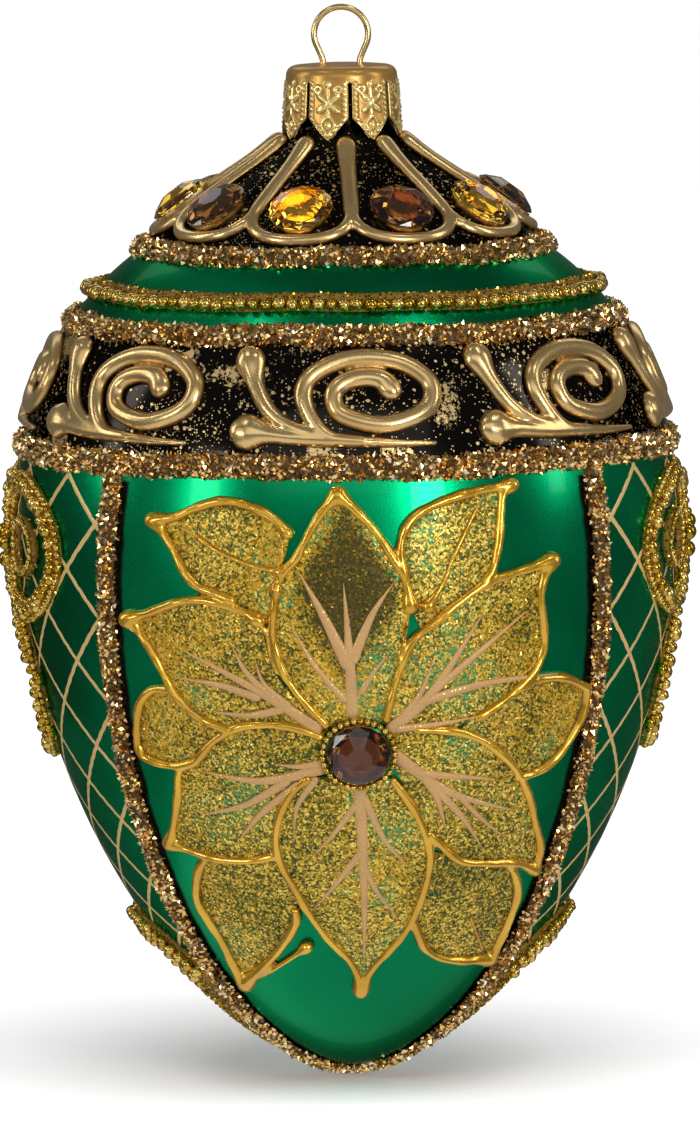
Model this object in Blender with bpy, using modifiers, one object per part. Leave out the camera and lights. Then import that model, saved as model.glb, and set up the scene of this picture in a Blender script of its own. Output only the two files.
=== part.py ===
"""Jewelled egg ornament: a hollow blown-glass egg with gilt relief, glitter braid, set stones and a stamped cap.

Run with: blender --background --python part.py
Units are metres and +Z is up. The origin is the hanging point, the inner top of the wire loop. -Y is the front.
"""

import math

import bmesh
import bpy
from mathutils import Matrix, Vector

# Fits and fineness
GAP = 0.0003
SEGMENTS = 32

# Wire loop and its legs
WIRE = 0.0008
LOOP_INNER = 0.0062
LEG_SPACING = 0.0048
LEG_REACH = 0.0096
WIRE_HOLE_CLEARANCE = 0.0004

# Stamped cap
CAP_DROP = 0.0065
CAP_RADIUS = 0.0078
CAP_TAPER = 0.0006
CAP_TOP_RADIUS = 0.0046
CAP_SHOULDER = 0.0022
CAP_DOME = 0.0003
CAP_HEIGHT = 0.0094
CAP_METAL = 0.0004
CAP_TABS = 8
CAP_TAB_TURN = math.radians(-14)
TAB_POINT = 0.0023
TAB_SLIT = 0.0006
SLIT_START = 0.0028

# Glass
EGG_RADIUS = 0.0429
BELT_TO_TIP = 0.0701
RIM_TO_BELT = 0.0368
UPPER_REACH = 0.0450
FLARE_HEIGHT = 0.0169
NECK_RADIUS = 0.0062
FLARE_NECK_PULL = (0.0004, 0.0044)
FLARE_RIM_PULL = (0.0061, 0.0080)
GLASS_WALL = 0.0012
BODY_ROUNDNESS = 1.7
LOWER_FULLNESS = 1.8
UPPER_FULLNESS = 2.4

# Relief web and stones of the flare
RIBS = 10
RIB_TURN = math.radians(3)
RIB_WIDTH = 0.0016
RIB_HEIGHT = 0.0010
RIB_START = 0.0010
ARC_SPRING = 0.0052
ARC_LOW = 0.0030
ARC_WIDTH = 0.0012
ARC_HEIGHT = 0.0008
STONE_DIAMETER = 0.0080
STONE_HEIGHT = 0.0026
STONE_ABOVE_RIM = 0.0060

# Bands: how far above or below the rim each one's middle lies
UPPER_BAND_DROP = -0.0004
MIDDLE_BAND_DROP = 0.0088
LOWER_BAND_DROP = 0.0249
BAND_WIDTH = 0.0034
BAND_HEIGHT = 0.0015
STRAND_DROP = 0.0047
STRAND_WIDTH = 0.0028
STRAND_HEIGHT = 0.0013

# Frieze scrolls
SCROLLS = 8
SCROLL_TURN = math.radians(-18.9)
SCROLL_WIDTH = 0.0016
SCROLL_HEIGHT = 0.0012
SCROLL_LENGTH = 0.0250
SCROLL_RISE = 0.0104
KNOB = 0.0030
CURL_SHARES = (1.0, 1.0, 1.0, 1.0, 1.0, 1.0, 0.95, 0.75, 0.55, 0.48, 0.44, 0.42, 0.36)

# Braid runs that part the panels: half the front panel's spread at its top, and how much it grows to the tip
PANEL_TURN = math.radians(1.7)
BRAID_WIDTH = 0.0034
BRAID_HEIGHT = 0.0014
PANEL_HALF_SPREAD = math.radians(46)
PANEL_SPREAD_GAIN = math.radians(9)

# Flowers, whose petals are given by direction, reach and half width on the front view
FLOWER_DROP = 0.0613
FLOWER_LIFT = 0.0005
PETAL_FIELD = 0.0005
PETAL_RIM = 0.0010
RIM_WIDTH = 0.0009
FRONT_PETALS = (
    (13, 0.0298, 0.0056), (44, 0.0341, 0.0072), (60, 0.0388, 0.0048), (93.5, 0.0331, 0.0086),
    (131, 0.0389, 0.0050), (150, 0.0332, 0.0076), (175, 0.0281, 0.0050), (208, 0.0271, 0.0088),
    (245.5, 0.0351, 0.0062), (270, 0.0325, 0.0096), (299, 0.0334, 0.0062), (322, 0.0281, 0.0090),
)
BACK_PETALS = tuple((30 + 60 * k, 0.0240, 0.0074) for k in range(6))
CENTRE_STONE = 0.0082
CENTRE_STONE_HEIGHT = 0.0030
SETTING_BEAD = 0.0009

# Side jewels and swags
JEWEL_DROP = 0.0374
JEWEL_HALF_SPREAD = 0.0200
JEWEL_HALF_HEIGHT = 0.0078
JEWEL_BAND = 0.0030
JEWEL_HEIGHT = 0.0020
JEWEL_BOSS = 0.0042
DROP_LENGTH = 0.0150
DROP_SPREAD = 0.0075
SWAG_DROP = 0.0866
SWAG_DIP = 0.0060
SWAG_WIDTH = 0.0040
SWAG_HEIGHT = 0.0016

# Heights that follow from the sizes above, all measured from the hanging point
CAP_TOP_Z = -CAP_DROP
CAP_FOOT_Z = CAP_TOP_Z - CAP_HEIGHT
NECK_TOP_Z = CAP_TOP_Z - CAP_METAL - CAP_SHOULDER - GAP
FLARE_TOP_Z = CAP_FOOT_Z + TAB_POINT - GAP
RIM_Z = FLARE_TOP_Z - FLARE_HEIGHT
BELT_Z = RIM_Z - RIM_TO_BELT
TIP_Z = BELT_Z - BELT_TO_TIP

BROAD_RIDGE = ((-1.0, 0.0), (-0.55, 1.0), (0.55, 1.0), (1.0, 0.0))
NARROW_RIDGE = ((-1.0, 0.0), (0.0, 1.0), (1.0, 0.0))
LEFT, RIGHT = -1, 1


def new_collection(name):
    collection = bpy.data.collections.new(name)
    bpy.context.scene.collection.children.link(collection)
    return collection


def clear_scene():
    for old in list(bpy.data.objects):
        bpy.data.objects.remove(old, do_unlink=True)


def finish(name, color, metallic, roughness, transmission=0.0):
    """A plain Principled finish."""
    material = bpy.data.materials.new(name)
    material.use_nodes = True
    shader = material.node_tree.nodes["Principled BSDF"]
    shader.inputs["Base Color"].default_value = (*color, 1.0)
    shader.inputs["Metallic"].default_value = metallic
    shader.inputs["Roughness"].default_value = roughness
    shader.inputs["Transmission Weight"].default_value = transmission
    return material


clear_scene()
EGG = new_collection("Jewelled_Egg")
CUTTERS = new_collection("Cutters")

GREEN_GLASS = finish("green_glass", (0.0, 0.24, 0.09), 0.3, 0.12)
CAP_GOLD = finish("cap_gold", (0.83, 0.58, 0.18), 1.0, 0.22)
WIRE_GOLD = finish("wire_gold", (0.80, 0.52, 0.16), 1.0, 0.25)
RELIEF_GOLD = finish("relief_gold", (0.42, 0.31, 0.15), 0.9, 0.38)
GLITTER = finish("glitter_braid", (0.42, 0.28, 0.13), 0.9, 0.45)
BEAD_GOLD = finish("bead_gold", (0.72, 0.52, 0.14), 1.0, 0.28)
PETAL_GOLD = finish("petal_gold", (0.60, 0.40, 0.05), 0.7, 0.35)
AMBER = finish("amber_stone", (0.85, 0.42, 0.01), 0.0, 0.03, 0.6)
TOPAZ = finish("brown_stone", (0.16, 0.06, 0.02), 0.0, 0.03, 0.6)


def place(mesh_or_curve, name, material, collection=EGG, matrix=None):
    """An object of this data, with its finish, in a collection."""
    item = bpy.data.objects.new(name, mesh_or_curve)
    collection.objects.link(item)
    if matrix:
        item.matrix_world = matrix
    if not mesh_or_curve.materials:
        mesh_or_curve.materials.append(material)
    if collection is CUTTERS:
        item.hide_render = True
        item.display_type = "WIRE"
    return item


def mesh_of(name, points, faces, smooth=True):
    """A closed mesh from its points and faces, with its faces turned outwards."""
    mesh = bpy.data.meshes.new(name)
    mesh.from_pydata([tuple(p) for p in points], [], faces)
    shell = bmesh.new()
    shell.from_mesh(mesh)
    bmesh.ops.recalc_face_normals(shell, faces=shell.faces)
    shell.to_mesh(mesh)
    shell.free()
    if smooth:
        mesh.shade_smooth()
        mesh.set_sharp_from_angle(angle=math.radians(40))
    return mesh


def turned(name, profile, material, steps=SEGMENTS, closed=False):
    """A profile of (radius, height) turned about the Z axis."""
    mesh = bpy.data.meshes.new(name)
    edges = [(k, k + 1) for k in range(len(profile) - 1)] + [(len(profile) - 1, 0)] * closed
    mesh.from_pydata([(r, 0.0, z) for r, z in profile], edges, [])
    item = place(mesh, name, material)
    screw = item.modifiers.new("Turn", "SCREW")
    screw.axis = "Z"
    screw.steps = screw.render_steps = steps
    screw.use_merge_vertices = True
    screw.merge_threshold = 0.00001
    screw.use_smooth_shade = True
    return item


def cut(item, cutter):
    boolean = item.modifiers.new("Cut " + cutter.name, "BOOLEAN")
    boolean.operation = "DIFFERENCE"
    boolean.solver = "EXACT"
    boolean.object = cutter


def fused(name, meshes, material):
    """Several crossing meshes joined into one closed body."""
    item = place(meshes[0], name, material)
    for k, mesh in enumerate(meshes[1:]):
        other = place(mesh, f"{name}_part_{k}", material, CUTTERS)
        join = item.modifiers.new("Join " + other.name, "BOOLEAN")
        join.operation = "UNION"
        join.solver = "EXACT"
        join.object = other
    return item


# The glass profile

def bezier(t, ends):
    a, b, c, d = ends
    s = 1 - t
    return tuple(s**3 * a[k] + 3 * s * s * t * b[k] + 3 * s * t * t * c[k] + t**3 * d[k] for k in range(2))


def upper_radius(z):
    """The radius of the body between the rim and the belt."""
    return EGG_RADIUS * math.sqrt(1 - ((z - BELT_Z) / UPPER_REACH) ** UPPER_FULLNESS)


def outer_profile(flare_steps, upper_steps, lower_steps):
    """(radius, height) down the outer face of the glass, from the neck to the tip."""
    start, end = (NECK_RADIUS, FLARE_TOP_Z), (upper_radius(RIM_Z), RIM_Z)
    pull_1 = (start[0] + FLARE_NECK_PULL[0], start[1] - FLARE_NECK_PULL[1])
    pull_2 = (end[0] - FLARE_RIM_PULL[0], end[1] + FLARE_RIM_PULL[1])
    points = [(NECK_RADIUS, NECK_TOP_Z)]
    points += [bezier(k / flare_steps, (start, pull_1, pull_2, end)) for k in range(flare_steps)]
    rim_share = math.asin((RIM_TO_BELT / UPPER_REACH) ** (UPPER_FULLNESS / 2))
    for k in range(upper_steps):
        angle = rim_share * (1 - k / upper_steps)
        height = UPPER_REACH * math.sin(angle) ** (2 / UPPER_FULLNESS)
        points.append((EGG_RADIUS * math.cos(angle), BELT_Z + height))
    for k in range(lower_steps + 1):
        angle = math.pi / 2 * k / lower_steps
        radius = EGG_RADIUS * max(math.cos(angle), 0.0) ** (2 / BODY_ROUNDNESS)
        points.append((radius, BELT_Z - BELT_TO_TIP * math.sin(angle) ** (2 / LOWER_FULLNESS)))
    points[-1] = (0.0, TIP_Z)
    return points


def offset_inwards(points, depth):
    """The same profile moved in by a wall, with its tip kept on the axis."""
    moved = []
    for k, (r, z) in enumerate(points):
        before, after = points[max(k - 1, 0)], points[min(k + 1, len(points) - 1)]
        dr, dz = after[0] - before[0], after[1] - before[1]
        length = math.hypot(dr, dz)
        moved.append((max(r + depth * dz / length, 0.0), z - depth * dr / length))
    moved[0] = (points[0][0] - depth, points[0][1])
    moved[-1] = (0.0, points[-1][1] + depth)
    return moved


FINE_PROFILE = outer_profile(60, 80, 160)


def glass_at(z):
    """Radius and outward normal (radial, upward) of the glass at a height."""
    for (r0, z0), (r1, z1) in zip(FINE_PROFILE, FINE_PROFILE[1:]):
        if z1 <= z <= z0 and z0 > z1:
            share = (z0 - z) / (z0 - z1)
            length = math.hypot(r1 - r0, z1 - z0)
            return r0 + share * (r1 - r0), (z0 - z1) / length, (r1 - r0) / length
    return 0.0, 0.0, -1.0


def on_glass(azimuth, z):
    """The point of the glass at an azimuth from the front and a height, and the normal there."""
    r, out, up = glass_at(z)
    across, ahead = math.sin(azimuth), -math.cos(azimuth)
    return Vector((r * across, r * ahead, z)), Vector((out * across, out * ahead, up))


def on_front(x, z):
    """The point of the glass that a front view shows at x and z, and the normal there."""
    return on_glass(math.asin(max(min(x / glass_at(z)[0], 0.999), -0.999)), z)


def make_glass():
    outer = outer_profile(6, 4, 9)
    inner = offset_inwards(outer_profile(3, 3, 5), GLASS_WALL)
    return turned("glass_egg", inner[::-1] + outer, GREEN_GLASS)


# Ridges that lie on the glass

def ridge(name, path, half_width, height, closed=False, lift=GAP, section=BROAD_RIDGE):
    """A low ridge along points of the glass, with a flat back and sloped sides."""
    count = len(path)
    points, faces = [], []
    for k, (point, normal) in enumerate(path):
        before = path[(k - 1) % count][0] if closed or k else point
        after = path[(k + 1) % count][0] if closed or k < count - 1 else point
        side = normal.cross(after - before).normalized()
        wide, high = half_width(k / (count - 1)), height(k / (count - 1))
        for across, up in section:
            points.append(point + side * wide * across + normal * (lift + high * up))
    corners = len(section)
    for k in range(count if closed else count - 1):
        for c in range(corners):
            a, b = k * corners + c, k * corners + (c + 1) % corners
            ahead = corners if k < count - 1 else corners * (1 - count)
            faces.append((a, b, b + ahead, a + ahead))
    if not closed:
        faces.append(tuple(range(corners)))
        faces.append(tuple((count - 1) * corners + c for c in range(corners)))
    return mesh_of(name, points, faces)


def steady(value):
    return lambda share: value


def swelling(start, middle, end):
    """A width that runs from start through middle to end."""
    def width(share):
        near, far = (start, middle) if share < 0.5 else (middle, end)
        step = share * 2 if share < 0.5 else share * 2 - 1
        return near + (far - near) * step
    return width


def make_band(name, drop, width, height, material):
    """A ring of braid turned about the axis, with its back following the glass."""
    middle = RIM_Z - drop
    shares = ((-0.5, 0), (0.5, 0), (0.36, 0.8), (0.0, 1.0), (-0.36, 0.8))
    profile = []
    for along, up in shares:
        radius, out, rise = glass_at(middle - along * width)
        lift = GAP + up * height
        profile.append((radius + out * lift, middle - along * width + rise * lift))
    return turned(name, profile[::-1], material, closed=True)


def make_flare_web():
    """Ribs down the flare, joined at the rim by an arc under each stone."""
    meshes = []
    pitch = 2 * math.pi / RIBS
    top, spring = FLARE_TOP_Z - TAB_POINT - RIB_START, RIM_Z + ARC_SPRING
    low = RIM_Z + ARC_LOW
    for k in range(RIBS):
        turn = RIB_TURN + k * pitch
        rib = [on_glass(turn, top + (spring - RIB_WIDTH / 2 - top) * s / 3) for s in range(4)]
        meshes.append(ridge(f"rib_{k}", rib, steady(RIB_WIDTH / 2), steady(RIB_HEIGHT)))
    for k in range(RIBS):
        turn = RIB_TURN + k * pitch
        arc = [
            on_glass(turn + pitch * s / 6, spring - (spring - low) * math.sin(math.pi * s / 6) ** 0.8)
            for s in range(7)
        ]
        meshes.append(ridge(f"arc_{k}", arc, steady(ARC_WIDTH / 2), steady(ARC_HEIGHT), lift=GAP * 1.1,
                            section=NARROW_RIDGE))
    return fused("flare_web", meshes, RELIEF_GOLD)


def seat(azimuth, z, lift):
    """A frame on the glass: +Z is the outward normal."""
    point, normal = on_glass(azimuth, z)
    turn = Vector((0, 0, 1)).rotation_difference(normal).to_matrix().to_4x4()
    return Matrix.Translation(point + normal * lift) @ turn


def stone_profile(diameter, height):
    radius = diameter / 2
    return [(0.0, height), (radius * 0.55, height), (radius, height * 0.42), (radius, 0.0), (0.0, 0.0)]


def make_stone(name, diameter, height, azimuth, z, material, sides=8):
    stone = turned(name, stone_profile(diameter, height), material, steps=sides)
    stone.modifiers["Turn"].use_smooth_shade = False
    stone.matrix_world = seat(azimuth, z, GAP)
    return stone


def make_flare_stones():
    pitch = 2 * math.pi / RIBS
    for k in range(RIBS):
        azimuth = RIB_TURN - pitch / 2 + k * pitch
        finish_of = AMBER if k % 2 == 0 else TOPAZ
        make_stone(f"flare_stone_{k + 1:02d}", STONE_DIAMETER, STONE_HEIGHT, azimuth,
                   RIM_Z + STONE_ABOVE_RIM, finish_of)


# Frieze scrolls

def smooth_path(marks, count):
    """Evenly counted points on a smooth curve through marks."""
    ends = [marks[0]] + list(marks) + [marks[-1]]
    points = []
    for k in range(count):
        place_on = k / (count - 1) * (len(marks) - 1)
        n = min(int(place_on), len(marks) - 2)
        t = place_on - n
        a, b, c, d = ends[n:n + 4]
        points.append(tuple(
            0.5 * (2 * b[i] + (c[i] - a[i]) * t + (2 * a[i] - 5 * b[i] + 4 * c[i] - d[i]) * t * t
                   + (3 * b[i] - a[i] - 3 * c[i] + d[i]) * t**3)
            for i in range(2)))
    return points


def scroll_spiral(count):
    """The curl of one scroll, as shares of its length and rise, from the tail's end to the bulb."""
    marks = [(0.96, 0.00), (0.70, 0.02), (0.44, 0.10)]
    for k, share in enumerate(CURL_SHARES):
        angle = math.radians(195 - 45 * k)
        marks.append((0.64 + 0.335 * share * math.cos(angle), 0.61 + 0.41 * share * math.sin(angle)))
    return smooth_path(marks, count)


def make_scrolls():
    middle = RIM_Z - (MIDDLE_BAND_DROP + LOWER_BAND_DROP) / 2
    foot = middle - SCROLL_RISE / 2

    def laid(points):
        placed = []
        for along, up in points:
            z = foot + up * SCROLL_RISE
            placed.append(on_glass(along * SCROLL_LENGTH / glass_at(middle)[0], z))
        return placed

    half = SCROLL_WIDTH / 2
    curl = ridge("curl", laid(scroll_spiral(17)), swelling(half * 0.5, half, half * 1.15), steady(SCROLL_HEIGHT),
                 section=NARROW_RIDGE)
    stem_marks = [(0.0, 1.0), (0.06, 0.70), (0.14, 0.40), (0.26, 0.20), (0.52, 0.06)]
    stem = ridge("stem", laid(smooth_path(stem_marks, 5)), swelling(KNOB / 2, half * 0.8, half * 0.6),
                 steady(SCROLL_HEIGHT * 1.05), lift=GAP * 1.1)
    foot_marks = [(0.02, 0.14), (0.24, 0.08), (0.66, 0.02)]
    heel = ridge("heel", laid(smooth_path(foot_marks, 4)), swelling(KNOB / 2, half * 0.9, half * 0.5),
                 steady(SCROLL_HEIGHT * 1.1), lift=GAP * 1.2)
    pattern = fused("scroll_1", [curl, stem, heel], RELIEF_GOLD)
    graph = bpy.context.evaluated_depsgraph_get()
    whole = bpy.data.meshes.new_from_object(pattern.evaluated_get(graph))
    bpy.data.objects.remove(pattern)
    for k in range(SCROLLS):
        turn = Matrix.Rotation(SCROLL_TURN + k * 2 * math.pi / SCROLLS, 4, "Z")
        place(whole, f"scroll_{k + 1}", RELIEF_GOLD, matrix=turn)


# Panels

def braid_top():
    return RIM_Z - LOWER_BAND_DROP - BAND_WIDTH / 2 - 2 * GAP


def half_panel(z):
    """Half the angle that the front panel spans at a height."""
    return PANEL_HALF_SPREAD + PANEL_SPREAD_GAIN * (braid_top() - z) / (braid_top() - TIP_Z)


def make_panel_braid():
    """Two arches of braid that cross under the tip."""
    top = braid_top()
    meshes = []
    for k, side in enumerate((LEFT, RIGHT)):
        down = [top - (top - TIP_Z) * math.sin(math.pi / 2 * s / 11) for s in range(11)]
        first = [on_glass(PANEL_TURN + side * half_panel(z), z) for z in down]
        tip = [(Vector((0, 0, TIP_Z)), Vector((0, 0, -1)))]
        second = [on_glass(PANEL_TURN + math.pi + side * half_panel(z), z) for z in reversed(down)]
        meshes.append(ridge(f"braid_run_{k}", first + tip + second, steady(BRAID_WIDTH / 2),
                            steady(BRAID_HEIGHT), lift=GAP * (1 + 0.2 * k)))
    return fused("panel_braid", meshes, GLITTER)


def petal_reach(angle, petals):
    """How far the outline of overlapping pointed petals lies from their centre, in one direction."""
    best = 0.0
    for direction, reach, half_width in petals:
        off = abs((angle - math.radians(direction) + math.pi) % (2 * math.pi) - math.pi)
        for k in range(41):
            share = k / 40
            wide = half_width * math.sin(math.pi * share ** 1.15) ** 0.75
            if off <= math.atan2(wide, share * reach) + 1e-6:
                best = max(best, math.hypot(wide, share * reach) if off > 1e-6 else share * reach)
    return best


def make_flower(name, petals, between, turn):
    """One raised plate in the outline of all its petals, with a rim along its edge and a hole for the stone."""
    z_middle = RIM_Z - FLOWER_DROP
    x_middle = glass_at(z_middle)[0] * math.sin(PANEL_TURN)
    hole = CENTRE_STONE / 2 + 2 * GAP + SETTING_BEAD
    directions = sorted(math.radians(petal[0]) for petal in petals)
    angles = []
    for near, far in zip(directions, directions[1:] + [directions[0] + 2 * math.pi]):
        angles += [near + (far - near) * s / between for s in range(between)]
    points, faces = [], []
    for angle in angles:
        reach = petal_reach(angle, petals)
        span = reach - RIM_WIDTH * 2 - hole
        rows = [(hole + span * share, 0.0) for share in (0.0, 0.3, 0.6, 0.9)]
        rows += [(reach, 0.0), (reach - RIM_WIDTH / 2, PETAL_RIM)]
        rows += [(hole + span * share, PETAL_FIELD) for share in (1.0, 0.67, 0.33, 0.0)]
        for distance, rise in rows:
            x = x_middle + distance * math.cos(angle)
            point, normal = on_front(x, z_middle + distance * math.sin(angle))
            points.append(point + normal * (FLOWER_LIFT + rise))
    count = len(points) // len(angles)
    for k in range(len(angles)):
        ahead = (k + 1) % len(angles)
        for c in range(count):
            d = (c + 1) % count
            faces.append((k * count + c, ahead * count + c, ahead * count + d, k * count + d))
    return place(mesh_of(name, points, faces), name, PETAL_GOLD, matrix=Matrix.Rotation(turn, 4, "Z"))


def make_setting(name, azimuth):
    """The ring of small beads round a centre stone, as one plain ring."""
    bead = SETTING_BEAD / 2
    middle = CENTRE_STONE / 2 + GAP + bead
    profile = [(middle, 2 * bead), (middle - bead, bead), (middle, 0.0), (middle + bead, bead)]
    ring = turned(name, profile[::-1], BEAD_GOLD, steps=14, closed=True)
    ring.matrix_world = seat(azimuth, RIM_Z - FLOWER_DROP, GAP)
    return ring


def make_flowers():
    z = RIM_Z - FLOWER_DROP
    make_flower("poinsettia_front", FRONT_PETALS, 5, 0.0)
    make_flower("poinsettia_back", BACK_PETALS, 6, math.pi)
    for side, azimuth in (("front", PANEL_TURN), ("back", PANEL_TURN + math.pi)):
        make_stone(f"{side}_stone", CENTRE_STONE, CENTRE_STONE_HEIGHT, azimuth, z, TOPAZ, sides=12)
        make_setting(f"{side}_setting", azimuth)


def make_side_jewel(name, side):
    """A bow of two beaded loops with a boss at its middle and a drop below."""
    middle_z = RIM_Z - JEWEL_DROP
    radius = glass_at(middle_z)[0]

    def laid(across, up):
        return on_glass(PANEL_TURN + side * math.pi / 2 + across / radius, middle_z + up)

    half_loop = JEWEL_HALF_SPREAD / 2
    meshes = []
    for hand in (LEFT, RIGHT):
        loop = []
        for k in range(10):
            angle = math.radians(36 * k + 18)
            out = half_loop * (1 + math.cos(angle)) - JEWEL_BAND / 8
            loop.append(laid(hand * out, JEWEL_HALF_HEIGHT * math.sin(angle)))
        meshes.append(ridge("loop", loop, steady(JEWEL_BAND / 2), steady(JEWEL_HEIGHT), closed=True,
                            lift=GAP * (1 + 0.1 * (hand > 0))))
    drop = []
    for k in range(10):
        angle = 2 * math.pi * k / 10
        up = -DROP_LENGTH / 2 + DROP_LENGTH / 2 * math.cos(angle)
        narrow = 1 - 0.45 * math.cos(angle)
        drop.append(laid(DROP_SPREAD * narrow * math.sin(angle), up - JEWEL_BOSS / 2))
    meshes.append(ridge("drop", drop, steady(JEWEL_BAND / 3), steady(JEWEL_HEIGHT * 0.8), closed=True,
                        lift=GAP * 1.2))
    boss = [laid(0.0, JEWEL_BOSS), laid(0.0, 0.0), laid(0.0, -JEWEL_BOSS)]
    meshes.append(ridge("boss", boss, swelling(JEWEL_BOSS / 2, JEWEL_BOSS, JEWEL_BOSS / 2),
                        steady(JEWEL_HEIGHT * 1.2), lift=GAP * 1.3))
    return fused(name, meshes, BEAD_GOLD)


def make_swag(name, side):
    """The beaded double strand that arches over the foot of a side panel, between the braid runs."""
    top = RIM_Z - SWAG_DROP
    path = []
    for k in range(9):
        share = 2 * k / 8 - 1
        z = top - SWAG_DIP * share * share
        room = math.pi / 2 - half_panel(z) - (BRAID_WIDTH / 2 + 3 * GAP + SWAG_WIDTH / 3) / glass_at(z)[0]
        path.append(on_glass(PANEL_TURN + side * math.pi / 2 + share * room, z))
    mesh = ridge(name, path, steady(SWAG_WIDTH / 2), steady(SWAG_HEIGHT))
    return place(mesh, name, BEAD_GOLD)


# Cap and hanger

def cap_radius(z):
    """Outer radius of the cap's side, which widens a little towards its foot."""
    share = (CAP_TOP_Z - CAP_SHOULDER - z) / (CAP_HEIGHT - CAP_SHOULDER)
    return CAP_RADIUS - CAP_TAPER * (1 - share)


def make_cap():
    """A domed crown of thin metal, slit into tabs with pointed ends, with two holes for the wire."""
    shoulder_z = CAP_TOP_Z - CAP_SHOULDER
    side_radius = cap_radius(shoulder_z)
    outside = [(0.0, CAP_TOP_Z + CAP_DOME), (CAP_TOP_RADIUS, CAP_TOP_Z)]
    for k in range(1, 4):
        angle = math.radians(30 * k)
        outside.append((CAP_TOP_RADIUS + (side_radius - CAP_TOP_RADIUS) * math.sin(angle),
                        shoulder_z + CAP_SHOULDER * math.cos(angle)))
    outside += [((side_radius + CAP_RADIUS) / 2, (shoulder_z + CAP_FOOT_Z) / 2), (CAP_RADIUS, CAP_FOOT_Z)]
    inside = offset_inwards(outside, CAP_METAL)
    inside[0] = (0.0, outside[0][1] - CAP_METAL)
    inside[1] = (outside[1][0], outside[1][1] - CAP_METAL)
    inside[-1] = (outside[-1][0] - CAP_METAL, outside[-1][1])
    cap = turned("cap", outside + inside[::-1], CAP_GOLD, steps=24)
    cut(cap, make_slits())
    for side in (LEFT, RIGHT):
        bpy.ops.mesh.primitive_cylinder_add(
            vertices=10, radius=WIRE / 2 + WIRE_HOLE_CLEARANCE, depth=CAP_SHOULDER,
            location=(side * LEG_SPACING / 2, 0, CAP_TOP_Z))
        drill = bpy.context.object
        drill.name = f"wire_hole_{side}"
        for home in list(drill.users_collection):
            home.objects.unlink(drill)
        CUTTERS.objects.link(drill)
        drill.hide_render, drill.display_type = True, "WIRE"
        cut(cap, drill)
    return cap


def make_slits():
    """Between two tabs: a narrow slit that opens below into the slants of two points."""
    half_slit = TAB_SLIT / 2
    half_gap = CAP_RADIUS * math.sin(math.pi / CAP_TABS) - half_slit
    outline = [
        (-half_slit, CAP_TOP_Z - SLIT_START), (-half_slit, CAP_FOOT_Z + TAB_POINT), (-half_gap, CAP_FOOT_Z),
        (-half_gap, CAP_FOOT_Z - CAP_METAL), (half_gap, CAP_FOOT_Z - CAP_METAL), (half_gap, CAP_FOOT_Z),
        (half_slit, CAP_FOOT_Z + TAB_POINT), (half_slit, CAP_TOP_Z - SLIT_START),
    ]
    near, far = CAP_TOP_RADIUS, CAP_RADIUS + CAP_METAL
    points, faces = [], []
    count = len(outline)
    for k in range(CAP_TABS):
        turn = Matrix.Rotation(CAP_TAB_TURN + (k + 0.5) * 2 * math.pi / CAP_TABS, 4, "Z")
        first = len(points)
        for reach in (near, far):
            for across, z in outline:
                narrow = across if reach == far else math.copysign(min(abs(across), half_gap * near / far), across)
                points.append(turn @ Vector((narrow, -reach, z)))
        faces.append(tuple(first + c for c in range(count)))
        faces.append(tuple(first + count + c for c in reversed(range(count))))
        for c in range(count):
            d = (c + 1) % count
            faces.append((first + c, first + d, first + count + d, first + count + c))
    mesh = mesh_of("tab_slits", points, faces, smooth=False)
    return place(mesh, "tab_slits", CAP_GOLD, CUTTERS)


def make_hanger():
    """One wire: a leg up through the cap, round the loop and down again, with spread springy ends."""
    ring = (LOOP_INNER + WIRE) / 2
    centre_z = -LOOP_INNER / 2
    inner_neck = NECK_RADIUS - GLASS_WALL
    foot_x = inner_neck - WIRE / 2 - GAP
    half_leg = LEG_SPACING / 2
    under_cap = CAP_TOP_Z - CAP_METAL - CAP_DOME
    right = [
        (foot_x, CAP_TOP_Z - LEG_REACH), (foot_x - WIRE / 4, CAP_TOP_Z - LEG_REACH * 0.6),
        (half_leg, under_cap - WIRE / 2), (half_leg, CAP_TOP_Z + CAP_DOME),
    ]
    bend = math.radians(-28)
    count = 16
    loop = []
    for k in range(count + 1):
        angle = bend + (math.pi - 2 * bend) * k / count
        loop.append((ring * math.cos(angle), centre_z + ring * math.sin(angle)))
    left = [(-x, z) for x, z in reversed(right)]
    route = right + loop + left
    curve = bpy.data.curves.new("hanger", "CURVE")
    curve.dimensions = "3D"
    curve.bevel_depth = WIRE / 2
    curve.bevel_resolution = 1
    curve.use_fill_caps = True
    line = curve.splines.new("POLY")
    line.points.add(len(route) - 1)
    for spot, (x, z) in zip(line.points, route):
        spot.co = (x, 0.0, z, 1.0)
    return place(curve, "hanger", WIRE_GOLD)


def main():
    make_glass()
    make_cap()
    make_hanger()
    make_flare_web()
    make_flare_stones()
    make_band("upper_glitter_band", UPPER_BAND_DROP, BAND_WIDTH, BAND_HEIGHT, GLITTER)
    make_band("middle_glitter_band", MIDDLE_BAND_DROP, BAND_WIDTH, BAND_HEIGHT, GLITTER)
    make_band("lower_glitter_band", LOWER_BAND_DROP, BAND_WIDTH, BAND_HEIGHT, GLITTER)
    make_band("bead_strand", STRAND_DROP, STRAND_WIDTH, STRAND_HEIGHT, BEAD_GOLD)
    make_scrolls()
    make_panel_braid()
    make_flowers()
    for name, side in (("left", LEFT), ("right", RIGHT)):
        make_side_jewel(f"side_jewel_{name}", side)
        make_swag(f"side_swag_{name}", side)


main()
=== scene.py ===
"""The looks of the jewelled egg ornament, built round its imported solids.

The glass gets its lacquer, black enamel and leaf flecks. Relief, braid, beads, petals, stones, cap and wire
are fine meshes in the places of the plain solids. Units are metres, the origin is the hanging point and -Y is
the front.
"""

import math

import bmesh
import bpy
import numpy as np
from bpy.props import FloatProperty, FloatVectorProperty, PointerProperty
from mathutils import Matrix, Quaternion, Vector
from mathutils.geometry import delaunay_2d_cdt


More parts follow.
